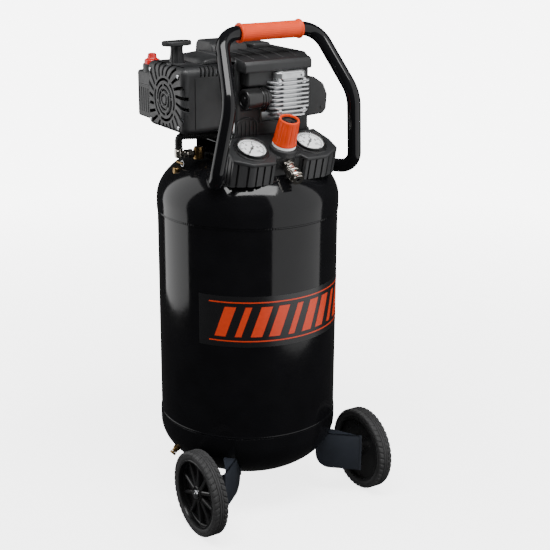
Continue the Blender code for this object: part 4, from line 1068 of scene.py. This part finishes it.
def build_switch_knob():
    top = COVER_Z[1]
    radius = 0.0134

    def ribs(angle, reach, height):
        if 0.003 < height < 0.03 and reach > 0.006:
            return reach * (1.0 - 0.07 * (0.5 + 0.5 * cos(angle * 12)))
        return reach

    outline = [(0.0, -0.01), (0.011, -0.01), (0.011, -0.0056), (radius, -0.0056), (radius, 0.005),
        (0.013, 0.01), (0.0118, 0.017),
        (0.0112, 0.026), (0.012, 0.031), (0.0, 0.0322)]
    stem = turned(outline, (KNOB_STEM_X, 0, top), steps=160, shape=ribs)
    plan = [(-0.029, 0.0), (-0.0245, -0.01), (-0.016, -0.0145), (0.016, -0.0145), (0.0245, -0.01),
        (0.029, 0.0), (0.0245, 0.01),
        (0.016, 0.0145), (-0.016, 0.0145), (-0.0245, 0.01)]
    cap = rounded(plan_prism([(KNOB_STEM_X + x, y) for x, y in plan], top + 0.0315, top + 0.0395), 0.0018, 4)
    inlay = rounded(plan_prism([(KNOB_STEM_X + x * 0.72, y * 0.66) for x, y in plan], top + 0.039,
            top + 0.0403), 0.0006, 2)
    cut(cap, inlay)
    piece("start_knob", fused(stem, cap), "grey_plastic", "switch_knob")


def build_rear_box():
    low = Vector((-0.164, COVER_HALF_Y + 0.0003, 0.742))
    high = Vector((-0.088, 0.124, 0.828))
    box = rounded(block(low, high), 0.006, 5)
    at = (-0.1455, 0.096, high.z)
    bore = turned([(0.0, -0.01), (0.0151, -0.01), (0.0151, 0.02), (0.0, 0.02)], at, steps=64)
    collar = turned([(0.0151, -0.002), (0.0175, -0.002), (0.0175, 0.01), (0.0171, 0.0118),
            (0.0163, 0.0125), (0.0151, 0.0125)], at, steps=72, ring=True)
    cut(box, bore)
    grooves = [block((low.x - 0.002, low.y + 0.01 + 0.0085 * n, low.z + 0.012),
            (low.x + 0.0012, low.y + 0.0125 + 0.0085 * n, high.z - 0.03)) for n in range(5)]
    grooves.append(block((low.x - 0.01, low.y - 0.01, low.z + 0.062),
            (high.x + 0.01, high.y + 0.01, low.z + 0.0628)))
    inner = rounded(block(low + Vector((0.0009, 0.0009, 0.0009)),
            high - Vector((0.0009, 0.0009, 0.0009))), 0.0055, 4)
    cut(inner, turned([(0.0, -0.01), (0.0153, -0.01), (0.0153, 0.02), (0.0, 0.02)], at, steps=64))
    cut(box, fused(*grooves))
    piece("switch_box", fused(box, inner, collar), "grey_plastic", "overload_box")
    gland = fused(
        turned([(0.0, -0.002), (0.0088, -0.002), (0.0088, 0.004), (0.0078, 0.0052), (0.0, 0.0052)],
            (-0.11, 0.098, low.z), -Z_AXIS, 48),
        hexagon(0.008, (-0.11, 0.098, low.z), -Z_AXIS, 0.005, 0.011),
    )
    piece("box_gland", gland, "black_plastic", body=BASE)
    button = turned([(0.0, -0.003), (0.0145, -0.003), (0.0145, 0.0178), (0.014, 0.0192), (0.0128, 0.0204),
            (0.0098, 0.0216), (0.0088, 0.0228),
            (0.008, 0.0286), (0.0072, 0.0303), (0.0056, 0.031), (0.0, 0.031)], at, steps=72)
    piece("reset_button", button, "red_plastic", "overload_button")


build_motor_cover()
build_fan()
build_switch_knob()
build_rear_box()


# ---------------------------------------------------------------- pump
PUMP_X = (-0.0745, 0.084)
PUMP_Y = (-0.078, 0.078)
PUMP_Z = (0.716, 0.866)
CYLINDER_X = sum(corner.x for corner in place_of("valve_plate")) / 2
HEAD_Z = 0.797
HEAD_BACK = -0.0868
HEAD_FRONT = -0.117
HEAD_HALF = 0.042
FILTER_Y = -0.104


def build_pump_cover():
    x_low, x_high = PUMP_X
    y_low, y_high = PUMP_Y
    z_low, z_high = PUMP_Z
    outline = [(y_low, z_low), (y_high, z_low), (y_high, z_high - 0.02), (y_high - 0.02, z_high),
        (y_low + 0.012, z_high), (y_low, z_high - 0.006)]
    cover = rounded(side_prism(outline, x_low, x_high), 0.0075, 5)
    hollow = block((x_low - 0.02, y_low + WALL, z_low - 0.02), (x_high - WALL, y_high - WALL,
            z_high - WALL - 0.005))
    cut(cover, hollow)
    half = HEAD_HALF + 0.002
    window = block((CYLINDER_X - half, -0.12, 0.748), (CYLINDER_X + half, -0.06, 0.84))
    cut(cover, window)
    pocket = rounded(block((-0.064, y_low - 0.01, 0.77), (-0.029, y_low + 0.002, 0.813)), 0.004, 3)
    cut(cover, pocket)
    visor_side = [(y_low + 0.004, z_high - 0.0245), (-0.105, z_high - 0.025), (-0.107, z_high - 0.0225),
        (-0.107, z_high - 0.011),
        (-0.103, z_high - 0.005), (y_low + 0.01, z_high + 0.0005)]
    visor = rounded(side_prism(visor_side, -0.069, 0.069), 0.0035, 5, 20.0)
    brow = rounded(block((-0.0615, -0.099, 0.814), (0.064, y_low + 0.0055, z_high - 0.0185)), 0.006, 5)
    parts = [cover, visor, brow]
    for n in range(4):
        x = -0.048 + 0.033 * n
        path = []
        for step in range(19):
            share = step / 18
            y = -0.093 + 0.15 * share
            z = z_high - 0.0006 + 0.0022 * sin(pi * min(1.0, share * 1.05))
            if y < y_low + 0.01:
                z = z_high + 0.0005 - 0.0055 * (y_low + 0.01 - y) / 0.035
            path.append(Vector((x + 0.01 * (share - 0.5) * (n - 1.5) / 1.5, y, z)))
        parts.append(swept(evenly(path, 0.004), 0.0012, 14))
    hump = [(0.002, z_high - 0.006), (0.01, z_high + 0.012), (0.022, z_high + 0.017),
        (0.064, z_high + 0.017), (0.07, z_high + 0.01), (0.073, z_high - 0.01)]
    parts.append(rounded(side_prism(hump, -0.07, 0.005), 0.0045, 4))
    parts.append(rounded(block((0.018, 0.01, z_high - 0.002), (0.056, 0.06, z_high + 0.009)), 0.0035, 3))
    for n in range(5):
        x = -0.069 + 0.0085 * n
        rib = [(y_low + 0.001, 0.718), (y_low - 0.0016, 0.72), (y_low - 0.0022, 0.742),
            (y_low - 0.0008, 0.748 + 0.002 * n), (y_low + 0.001, 0.75 + 0.002 * n)]
        parts.append(rounded(side_prism(rib, x, x + 0.0024), 0.0007, 2))
    arch = [Vector((x, y_low - 0.0006, z)) for x, z in ((-0.0715, 0.718), (-0.0715, 0.742))]
    centre_x, reach = -0.05, 0.0215
    arch = [arch[0]] + [Vector((centre_x - reach * cos(pi * k / 20), y_low - 0.0006,
                0.744 + 0.0135 * sin(pi * k / 20))) for k in range(21)] + [Vector((centre_x + reach,
                y_low - 0.0006, 0.718))]
    parts.append(swept(evenly(arch, 0.003), 0.0019, 14))
    frame_points = [(CYLINDER_X - half, 0.748), (CYLINDER_X + half, 0.748), (CYLINDER_X + half, 0.84),
        (CYLINDER_X - half, 0.84)]
    for (ax, az), (bx, bz) in zip(frame_points, frame_points[1:] + frame_points[:1]):
        parts.append(swept([Vector((ax, y_low - 0.0002, az)), Vector((bx, y_low - 0.0002, bz))], 0.0017, 12))
    for x in (x_low + 0.0035, x_high - 0.004):
        for z in (z_low + 0.01,):
            parts.append(turned([(0.0, -0.001), (0.0044, -0.001), (0.0042, 0.001), (0.0032, 0.0016),
                        (0.0, 0.0016)], (x, y_low, z), -Y_AXIS, 32))
    shade = fused(*parts)
    piece("pump_shroud", shade, "grey_plastic", "pump_cover")
    # Thin near-black strips on the cover's back: painted shade standing in for the shade inside the vent
    # slots.
    vents = []
    for n in range(7):
        z = 0.742 + 0.0125 * n
        vents.append(rounded(block((x_low + 0.03, y_high - 0.0005, z),
                    (x_high - 0.03, y_high + 0.0006, z + 0.005)), 0.0005, 2))
    piece("rear_vents", fused(*vents), "black_plastic", body=BASE, look=PAINTED_SHADE)


def build_end_cover():
    x_low = PUMP_X[1] + 0.0003
    outline = [(x_low, 0.74), (0.138, 0.743), (0.145, 0.752), (0.147, 0.779), (0.138, 0.8),
        (0.118, 0.813), (x_low, 0.818)]
    cover = rounded(front_prism(outline, -0.047, 0.047), 0.0045, 5)
    slots = []
    for n in range(6):
        z = 0.753 + 0.0082 * n
        slots.append(rounded(block((0.13, -0.028, z), (0.16, 0.028, z + 0.0036)), 0.0012, 2))
    hollow = front_prism([(x_low - 0.02, 0.743), (0.136, 0.7458), (0.1424, 0.7535), (0.1442, 0.7785),
            (0.1358, 0.7978), (0.117, 0.8102), (x_low - 0.02, 0.815)], -0.044, 0.044)
    cut(cover, hollow)
    cut(cover, fused(*slots))
    seam = []
    for y in (-0.047, 0.047):
        for x, z in ((0.093, 0.748), (0.093, 0.809), (0.133, 0.756)):
            seam.append(turned([(0.0, -0.0012), (0.0036, -0.0012), (0.0034, 0.0008), (0.0026, 0.0013),
                        (0.0, 0.0013)], (x, y, z), Y_AXIS * (1 if y > 0 else -1), 32))
    piece("end_housing", fused(cover, *seam), "grey_plastic", "crank_end_cover")


def build_cylinder_head():
    low = HEAD_Z - 0.037
    high = HEAD_Z + 0.042
    top_plate = 0.012
    root = HEAD_FRONT + 0.016
    half = HEAD_HALF
    core = rounded(block((CYLINDER_X - 0.03, root - 0.001, low), (CYLINDER_X + 0.03, HEAD_BACK,
                high - 0.004)), 0.002, 3)
    parts = [core]
    count = 9
    pitch = (high - top_plate - low) / count
    for fin in range(count):
        base = low + pitch * fin
        wide = half
        if fin == 0:
            wide = half - 0.008
        elif fin == 1:
            wide = half - 0.003
        nose = HEAD_FRONT
        plan = [(-wide, HEAD_BACK - 0.0005), (-wide, nose + 0.01), (-wide + 0.008, nose),
            (wide - 0.008, nose), (wide, nose + 0.01), (wide, HEAD_BACK - 0.0005)]
        plate = plan_prism([(CYLINDER_X + x, y) for x, y in plan], base + 0.0001, base + 0.47 * pitch)
        parts.append(rounded(plate, 0.001, 3))
    wide = 0.027
    plan = [(-wide - 0.004, HEAD_BACK), (-wide - 0.004, HEAD_FRONT + 0.006),
        (-wide + 0.004, HEAD_FRONT - 0.001), (wide - 0.004, HEAD_FRONT - 0.001),
        (wide + 0.004, HEAD_FRONT + 0.006), (wide + 0.004, HEAD_BACK)]
    parts.append(rounded(plan_prism([(CYLINDER_X + x, y) for x, y in plan], high - top_plate, high),
            0.0018, 4))
    step = [(x * 0.82, y) for x, y in plan]
    parts.append(rounded(plan_prism([(CYLINDER_X + x, min(y, HEAD_FRONT + 0.0265)) for x, y in step],
                high - 0.003, high + 0.0012), 0.0008, 3))
    boss = [(-0.0125, low + 0.012), (0.0125, low + 0.012), (0.015, low + 0.02), (0.015, high - top_plate),
        (-0.015, high - top_plate), (-0.015, low + 0.02)]
    parts.append(rounded(front_prism([(CYLINDER_X + x, z) for x, z in boss], HEAD_FRONT + 0.0075,
                root + 0.002), 0.0015, 3))
    for sx in (-1, 1):
        for z in (low + 0.01, high - top_plate - 0.005):
            parts.append(turned([(0.0, 0.0), (0.0052, 0.0), (0.005, -0.02), (0.0, -0.02)],
                    (CYLINDER_X + sx * 0.0255, root - 0.013, z), -Y_AXIS, 40))
    piece("head_casting", fused(*parts), "cast_aluminium", "cylinder_head", smooth=35)
    bolts = []
    for sx in (-1, 1):
        for z in (low + 0.01, high - top_plate - 0.005):
            at = Vector((CYLINDER_X + sx * 0.0255, root - 0.013, z))
            bolts.append(hexagon(0.0046, at, -Y_AXIS, -0.0005, 0.003))
    at = Vector((CYLINDER_X + 0.0195, HEAD_FRONT - 0.0012, high - 0.0062))
    bolts.append(turned([(0.0, -0.001), (0.0032, -0.001), (0.0032, 0.0016), (0.0022, 0.002),
                (0.0, 0.0014)], at, -Y_AXIS, 32))
    piece("head_bolts", fused(*bolts), "bright_steel", body=BASE)


def build_filter():
    end = CYLINDER_X - HEAD_HALF - 0.0003
    canister = [(0.0, -0.077), (0.006, -0.077), (0.0064, -0.0762), (0.012, -0.0762), (0.0124, -0.077),
        (0.016, -0.077), (0.0176, -0.0764),
        (0.0185, -0.075), (0.0185, -0.048), (0.0183, -0.0474), (0.0174, -0.0472), (0.0172, -0.0462),
        (0.0182, -0.0458),
        (0.0185, -0.045), (0.0184, -0.044), (0.0172, -0.0435), (0.0172, -0.041), (0.0184, -0.0404),
        (0.0185, -0.0396),
        (0.0185, -0.0376), (0.0176, -0.037), (0.0176, -0.0358), (0.0185, -0.0352), (0.0185, -0.0336),
        (0.0176, -0.0328), (0.012, -0.032), (0.011, -0.0312),
        (0.011, end), (0.0, end)]
    body = turned([(radius, height + (0.005 if height < end - 0.001 else 0.0)) for radius,
            height in canister], (0.0, FILTER_Y, 0.796), X_AXIS, 96)
    piece("filter_canister", body, "black_plastic", "intake_filter")


build_pump_cover()
build_end_cover()
build_cylinder_head()
build_filter()


# ---------------------------------------------------------------- air line into the tank
def build_air_line():
    at = Vector((-0.112, -0.014))
    outlet = Vector((-0.92, 0.39, 0.0)).normalized()
    base = dome_z(at.x, at.y) - 0.01
    root = Vector((at.x, at.y, base))
    top = 0.702 - base
    valve = fused(
        turned([(0.0, 0.0), (0.015, 0.0), (0.015, 0.012), (0.014, 0.0135), (0.0, 0.0135)], root, steps=64),
        hexagon(0.0128, root, Z_AXIS, 0.0135, 0.023),
        turned([(0.0, 0.02), (0.01, 0.02), (0.01, top - 0.005), (0.0094, top - 0.004), (0.008, top),
                (0.0, top)], root, steps=64),
    )
    cut(valve, dome_cutter(SEAM_HIGH, Z_AXIS))
    piece("valve_brass", valve, "brass", "check_valve")
    arm_root = Vector((at.x, at.y, 0.69))
    elbow_at = arm_root + outlet * 0.036
    arm = fused(
        turned([(0.0, 0.006), (0.005, 0.006), (0.005, 0.036), (0.0, 0.036)], arm_root, outlet, 40),
        hexagon(0.0082, arm_root, outlet, 0.0115, 0.0195),
        turned([(0.0, 0.0195), (0.0068, 0.0195), (0.0072, 0.0205), (0.0072, 0.0255), (0.0064, 0.027),
                (0.0, 0.027)], arm_root, outlet, 48),
        turned([(0.0, -0.0075), (0.0058, -0.0075), (0.007, -0.0066), (0.0078, -0.0045), (0.008, 0.0),
                (0.008, 0.006), (0.0072, 0.007), (0.0072, 0.0078),
                (0.008, 0.0084), (0.008, 0.0095), (0.0, 0.0095)], elbow_at, steps=56),
    )
    piece("valve_elbow", arm, "nickel", body=BASE)
    start = elbow_at + Z_AXIS * 0.0098
    hose_z = 0.7225
    end = Vector((-0.056, -0.0662, hose_z))
    corners = [start, (start.x, start.y, hose_z), (-0.082, -0.025, hose_z), (-0.078, end.y, hose_z), end]
    path = evenly(softened(corners, (0.009, 0.025, 0.015), 14), 0.0006)
    hose = swept(path, 0.0072, 28, shape=lambda index: 0.955 + 0.045 * cos(index * 2 * pi / 6))
    piece("ribbed_hose", hose, "black_rubber", "discharge_hose", smooth=60)
    port_x = CYLINDER_X - 0.0375
    corners = [end + X_AXIS * 0.0003, (port_x, end.y, hose_z), (port_x, end.y, 0.772),
        (port_x, HEAD_BACK + 0.0003, 0.772)]
    tube = swept(softened(corners, (0.01, 0.008), 12), 0.004, 28)
    ferrule = hexagon(0.0066, (port_x, HEAD_BACK + 0.012, 0.772), -Y_AXIS, 0.0, 0.008)
    # The tube carries the darkened copper look: painted shade from the pump cover's dark inside.
    piece("copper_line", fused(tube, ferrule), "brass", "port_tube", look=COPPER_PAINTED_SHADE, smooth=50)


def build_safety_valve():
    x, y = -0.133, 0.026
    base = dome_z(x, y) - 0.008
    rise = 0.029
    at = Vector((x, y, base))
    valve = fused(
        turned([(0.0, 0.0), (0.0105, 0.0), (0.0105, 0.009), (0.0095, 0.0102), (0.0, 0.0102)], at, steps=48),
        hexagon(0.0082, at, Z_AXIS, 0.01, 0.016),
        turned([(0.0, 0.015), (0.0074, 0.015), (0.008, 0.0165), (0.008, rise - 0.003), (0.006, rise),
                (0.0, rise)], at, steps=48),
    )
    root = at + Z_AXIS * 0.02
    cut(valve, turned([(0.0, -0.003), (0.0021, -0.003), (0.0021, 0.02), (0.0, 0.02)], root, -Y_AXIS, 32))
    cut(valve, dome_cutter(SEAM_HIGH, Z_AXIS))
    piece("relief_valve", valve, "brass", "safety_valve_body")
    stem = turned([(0.0, 0.0), (0.0016, 0.0), (0.0016, 0.012), (0.0, 0.012)], root, -Y_AXIS, 28)
    centre = root - Y_AXIS * 0.0165
    loop_path = [centre + Vector((0.0, cos(2 * pi * n / 48),
                sin(2 * pi * n / 48))) * 0.0052 for n in range(48)]
    loop = swept(loop_path, 0.00085, 14, closed=True)
    piece("pull_ring", fused(stem, loop), "bright_steel", "safety_valve_ring")


build_air_line()
build_safety_valve()


# ---------------------------------------------------------------- control panel
GAUGE_X = 0.0613
GAUGE_CENTRE = Vector((0.0, -0.1153, 0.7109))
GAUGE_TILT = radians(27.0)
SKIRT_TILT = radians(14.0)
PANEL_BASE_Z = 0.648
KNOB_SEAT = Vector((0.0, -0.1215, 0.7065))
KNOB_TILT = radians(20.0)
COUPLER_ROOT = Vector((0.0, -0.128, 0.685))
COUPLER_DROP = radians(32.0)
DIAL_NORMAL = Vector((0.0, -sin(GAUGE_TILT), cos(GAUGE_TILT)))
DIAL_UP = DIAL_NORMAL.cross(X_AXIS).normalized()
KNOB_AXIS = Vector((0.0, -sin(KNOB_TILT), cos(KNOB_TILT)))
COUPLER_AXIS = Vector((0.0, -cos(COUPLER_DROP), -sin(COUPLER_DROP)))
PANEL_HALF = [(0.025, -0.127), (0.033, -0.14), (0.076, -0.139), (0.109, -0.121), (0.107, -0.095),
    (0.093, -0.061)]


def panel_outline(inset):
    half = []
    for index, (x, y) in enumerate(PANEL_HALF):
        half.append((x + (-inset if index > 1 else 0.0), y + (inset if index < 4 else -inset)))
    return half + [(-x, y) for x, y in reversed(half)]


def grooved(outline, pitch, width, depth):
    """The outline with narrow notches along each of its long sides but the last."""
    result = []
    for (ax, ay), (bx, by) in zip(outline, outline[1:]):
        start = Vector((ax, ay))
        end = Vector((bx, by))
        along = (end - start).normalized()
        inward = Vector((-along.y, along.x))
        length = (end - start).length
        result.append((ax, ay))
        count = int(length / pitch + 0.35)
        for n in range(count):
            middle = length * (n + 0.5) / count
            for offset, sunk in ((-width / 2, 0.0), (-width / 2 + 0.0004, depth),
                    (width / 2 - 0.0004, depth), (width / 2, 0.0)):
                spot = start + along * (middle + offset) + inward * sunk
                result.append((spot.x, spot.y))
    result.append(outline[-1])
    return result


def panel_shape(outline, base_z, under_top, over=None):
    """Level at its base, and cut at the top by a plane parallel to the dials."""
    shift = tan(SKIRT_TILT)
    slope = tan(GAUGE_TILT)
    low = []
    high = []
    for x, y in outline:
        plane = GAUGE_CENTRE.z - under_top / cos(GAUGE_TILT) - slope * GAUGE_CENTRE.y
        top_z = (plane + slope * (y + shift * PANEL_BASE_Z)) / (1 + slope * shift)
        bottom_z = base_z
        if over is not None:
            plane = GAUGE_CENTRE.z - over / cos(GAUGE_TILT) - slope * GAUGE_CENTRE.y
            bottom_z = (plane + slope * (y + shift * PANEL_BASE_Z)) / (1 + slope * shift)
        low.append((x, y - shift * (bottom_z - PANEL_BASE_Z), bottom_z))
        high.append((x, y - shift * (top_z - PANEL_BASE_Z), top_z))
    return loft(low, high)


def build_panel():
    body = panel_shape(grooved(panel_outline(0.0), 0.015, 0.0038, 0.0028), PANEL_BASE_Z, 0.0075)
    top = rounded(panel_shape(panel_outline(-0.0005), 0.0, 0.0028, over=0.0095), 0.0022, 4)
    seat = turned([(0.0, -0.006), (0.0262, -0.006), (0.0258, 0.0035), (0.025, 0.0048), (0.0236, 0.0055),
            (0.0, 0.0055)], KNOB_SEAT, KNOB_AXIS, 96)
    collar = turned([(0.009, -0.003), (0.019, -0.003), (0.018, 0.006), (0.0165, 0.0075), (0.0118, 0.008),
            (0.009, 0.008)], COUPLER_ROOT, COUPLER_AXIS, 64, ring=True)
    parts = [body, top, seat, collar]
    for side in (-1, 1):
        at = Vector((side * 0.0305, -0.0965, 0.0))
        at.z = GAUGE_CENTRE.z + tan(GAUGE_TILT) * (at.y - GAUGE_CENTRE.y) - 0.003
        parts.append(turned([(0.0, -0.002), (0.004, -0.002), (0.004, 0.0006), (0.0034, 0.0012),
                    (0.0, 0.0012)], at, DIAL_NORMAL, 32))
    piece("panel", fused(*parts), "grey_plastic", "panel_housing", smooth=28)


def on_dial(centre, reach, degrees, lift):
    angle = radians(degrees)
    return centre + (X_AXIS * cos(angle) + DIAL_UP * sin(angle)) * reach + DIAL_NORMAL * lift


def dial_bar(centre, degrees, inner, outer, half, low, high):
    angle = radians(degrees)
    along = X_AXIS * cos(angle) + DIAL_UP * sin(angle)
    across = DIAL_NORMAL.cross(along).normalized()
    corners = [along * inner - across * half, along * outer - across * half,
        along * outer + across * half, along * inner + across * half]
    return loft([centre + spot + DIAL_NORMAL * low for spot in corners],
        [centre + spot + DIAL_NORMAL * high for spot in corners])


def dial_number(centre, text, degrees, reach, size, lift):
    curve = bpy.data.curves.new("number", "FONT")
    curve.body = text
    curve.size = size
    curve.align_x = "CENTER"
    curve.align_y = "CENTER"
    curve.extrude = 0.00003
    curve.offset = 0.00022
    holder = bpy.data.objects.new("number", curve)
    bpy.context.scene.collection.objects.link(holder)
    mesh = bpy.data.meshes.new_from_object(holder.evaluated_get(bpy.context.evaluated_depsgraph_get()))
    turn = Matrix((X_AXIS, DIAL_UP, DIAL_NORMAL)).transposed().to_4x4()
    turn.translation = on_dial(centre, reach, degrees, lift)
    mesh.transform(turn)
    bpy.data.objects.remove(holder, do_unlink=True)
    made = bpy.data.objects.new("draft", mesh)
    bpy.context.scene.collection.objects.link(made)
    return made


def build_gauge(side, label):
    centre = GAUGE_CENTRE + X_AXIS * GAUGE_X * side
    case = turned([(0.0, -0.02), (0.024, -0.02), (0.0245, -0.0195), (0.0245, -0.004), (0.0275, -0.003),
            (0.0285, -0.002), (0.0287, -0.0008),
            (0.0287, 0.0026), (0.0284, 0.0036), (0.0278, 0.0043), (0.027, 0.0046), (0.0264, 0.0042),
            (0.0258, 0.003), (0.0256, -0.0012), (0.0, -0.0012)],
        centre, DIAL_NORMAL, 128)
    surround = turned([(0.028, -0.0085), (0.0335, -0.0085), (0.0332, -0.0026), (0.0322, -0.0012),
            (0.03, -0.0004), (0.028, -0.0004)],
        centre, DIAL_NORMAL, 96, ring=True)
    case = fused(case, surround)
    piece(f"bezel_{label}", case, "black_plastic", f"gauge_{label}_case")
    dial = turned([(0.0, -0.001), (0.0255, -0.001), (0.0255, -0.0004), (0.0252, -0.0002), (0.0, -0.0003)],
        centre, DIAL_NORMAL, 96)
    piece(f"dial_{label}", dial, "dial_white", f"gauge_{label}_dial")
    marks = []
    steps = 50
    for n in range(steps + 1):
        degrees = 225.0 - 270.0 * n / steps
        major = n % 10 == 0
        middle = n % 5 == 0
        inner = 0.0168 if major else (0.0185 if middle else 0.0198)
        marks.append(dial_bar(centre, degrees, inner, 0.0224, 0.0008 if major else 0.00036, -0.0003,
                -0.00012))
    marks.append(turned([(0.0222, -0.0003), (0.0229, -0.0003), (0.0229, -0.00012), (0.0222, -0.00012)],
            centre, DIAL_NORMAL, 96, ring=True))
    for n in range(6):
        degrees = 225.0 - 270.0 * n / 5
        marks.append(dial_number(centre, str(2 * n), degrees, 0.0128, 0.0074, -0.00016))
    piece(f"dial_marks_{label}", fused(*marks), "needle_black", body=BASE, look=INK, smooth=10)
    needle = fused(
        turned([(0.0, 0.0), (0.0026, 0.0), (0.003, 0.0003), (0.003, 0.0009), (0.0024, 0.0012),
                (0.0, 0.0012)], centre, DIAL_NORMAL, 40),
        loft(*[[centre + spot + DIAL_NORMAL * lift for spot in pointer_outline()] for lift in (0.0003,
                0.0009)]),
    )
    piece(f"needle_{label}", needle, "needle_black", f"gauge_{label}_needle")
    lens = turned([(0.0, 0.0016), (0.025, 0.0016), (0.0254, 0.0019), (0.0253, 0.0025), (0.02, 0.00275),
            (0.0, 0.0028)], centre, DIAL_NORMAL, 96)
    piece(f"lens_{label}", lens, "clear_lens", f"gauge_{label}_lens", smooth=50)


def pointer_outline():
    angle = radians(225.0)
    along = X_AXIS * cos(angle) + DIAL_UP * sin(angle)
    across = DIAL_NORMAL.cross(along).normalized()
    shape = ((-0.0085, -0.0019), (0.0, -0.0014), (0.015, -0.0008), (0.0205, 0.0), (0.015, 0.0008),
        (0.0, 0.0014), (-0.0085, 0.0019))
    return [along * reach + across * half for reach, half in shape]


def build_regulator():
    spindle = turned([(0.0, -0.005), (0.007, -0.005), (0.007, 0.041), (0.0062, 0.042), (0.0, 0.042)],
        KNOB_SEAT, KNOB_AXIS, 48)
    piece("spindle", spindle, "bright_steel", "regulator_spindle")
    ring = turned([(0.0095, 0.0058), (0.0212, 0.0058), (0.0215, 0.0062), (0.0215, 0.0098),
            (0.021, 0.0104), (0.0095, 0.0104)], KNOB_SEAT, KNOB_AXIS, 96, ring=True)
    piece("knob_ring", ring, "dial_white", "regulator_ring")

    def flutes(angle, radius, height):
        if radius < 0.0172 or not 0.015 < height < 0.0565:
            return radius
        fade = min(1.0, (height - 0.015) / 0.006, (0.0565 - height) / 0.004)
        return radius - 0.00085 * fade * max(0.0, cos(angle * 14)) ** 2

    profile = [(0.0076, 0.0108), (0.0212, 0.0108), (0.0218, 0.0114), (0.0218, 0.0135), (0.0213, 0.015),
        (0.021, 0.0165)]
    profile += [(0.0208 - 0.0022 * n / 12, 0.02 + 0.036 * n / 12) for n in range(13)]
    profile += [(0.0183, 0.0575), (0.0178, 0.0586), (0.0172, 0.059), (0.016, 0.059), (0.015, 0.0586),
        (0.0146, 0.0578), (0.0146, 0.0512), (0.0, 0.0512),
        (0.0, 0.046), (0.0076, 0.046)]
    knob = turned(profile[:-3] + [(0.0004, 0.0512), (0.0004, 0.046), (0.0076, 0.046)], KNOB_SEAT,
        KNOB_AXIS, 224, ring=True, shape=flutes)
    piece("knob", knob, "orange_plastic", "regulator_knob", smooth=40)
    # The recess cup is painted shade: its near-black stands for the shade inside the knob's top recess.
    cup = turned([(0.0, 0.0513), (0.0145, 0.0513), (0.0145, 0.0555), (0.0132, 0.0555), (0.013, 0.053),
            (0.0, 0.053)], KNOB_SEAT, KNOB_AXIS, 64)
    stub = turned([(0.0, 0.052), (0.0068, 0.052), (0.0066, 0.056), (0.0056, 0.0566), (0.0, 0.0566)],
        KNOB_SEAT, KNOB_AXIS, 48)
    piece("knob_recess", cup, "black_plastic", body="regulator_knob", look=PAINTED_SHADE)
    piece("knob_stub", stub, "black_plastic", body="regulator_knob")


def build_coupler():
    body = fused(
        turned([(0.0, -0.006), (0.0085, -0.006), (0.0085, 0.045), (0.0104, 0.0456), (0.0108, 0.0464),
                (0.0108, 0.0508), (0.0103, 0.0515), (0.0056, 0.0515),
                (0.0056, 0.02), (0.0, 0.02)], COUPLER_ROOT, COUPLER_AXIS, 80),
        hexagon(0.0112, COUPLER_ROOT, COUPLER_AXIS, 0.007, 0.015, turn=pi / 6),
    )
    piece("coupler_core", body, "nickel", "coupler_body")

    def knurl(angle, radius, height):
        if radius < 0.0124 or not (0.0235 < height < 0.0322):
            return radius
        return radius - 0.00022 * (0.5 + 0.5 * cos(angle * 48))

    sleeve = turned([(0.0089, 0.0205), (0.0118, 0.0205), (0.0123, 0.021), (0.0126, 0.0225),
            (0.0126, 0.024), (0.0126, 0.028), (0.0126, 0.0318), (0.0126, 0.0328),
            (0.0123, 0.0334), (0.0118, 0.034), (0.0118, 0.037), (0.0123, 0.0376), (0.0126, 0.0384),
            (0.0126, 0.043), (0.0123, 0.044), (0.0116, 0.0445), (0.0089, 0.0445)],
        COUPLER_ROOT, COUPLER_AXIS, 192, ring=True, shape=knurl)
    piece("coupler_grip", sleeve, "nickel", "coupler_sleeve")
    seal = turned([(0.003, 0.0492), (0.0057, 0.0492), (0.0057, 0.051), (0.005, 0.0513), (0.003, 0.0506)],
        COUPLER_ROOT, COUPLER_AXIS, 56, ring=True)
    piece("coupler_seal", seal, "black_rubber", body=BASE)


build_panel()
for gauge_side, gauge_label in ((-1, "left"), (1, "right")):
    build_gauge(gauge_side, gauge_label)
build_regulator()
build_coupler()


# ---------------------------------------------------------------- the CAD's own inner pieces keep their shape
INNER = {
    "crankcase": "cast_aluminium", "cylinder": "cast_aluminium", "valve_plate": "bright_steel",
    "piston_and_rod": "cast_aluminium",
    "crankshaft": "bright_steel", "motor_rotor": "lamination", "motor_stator": "lamination",
    "power_switch": "black_plastic",
    "manifold_block": "cast_aluminium", "pressure_switch": "black_plastic",
}
for inner_node, inner_slot in INNER.items():
    inner = frame["nodes"][inner_node]
    inner.data.materials.clear()
    inner.data.materials.append(LOOKS[inner_slot])
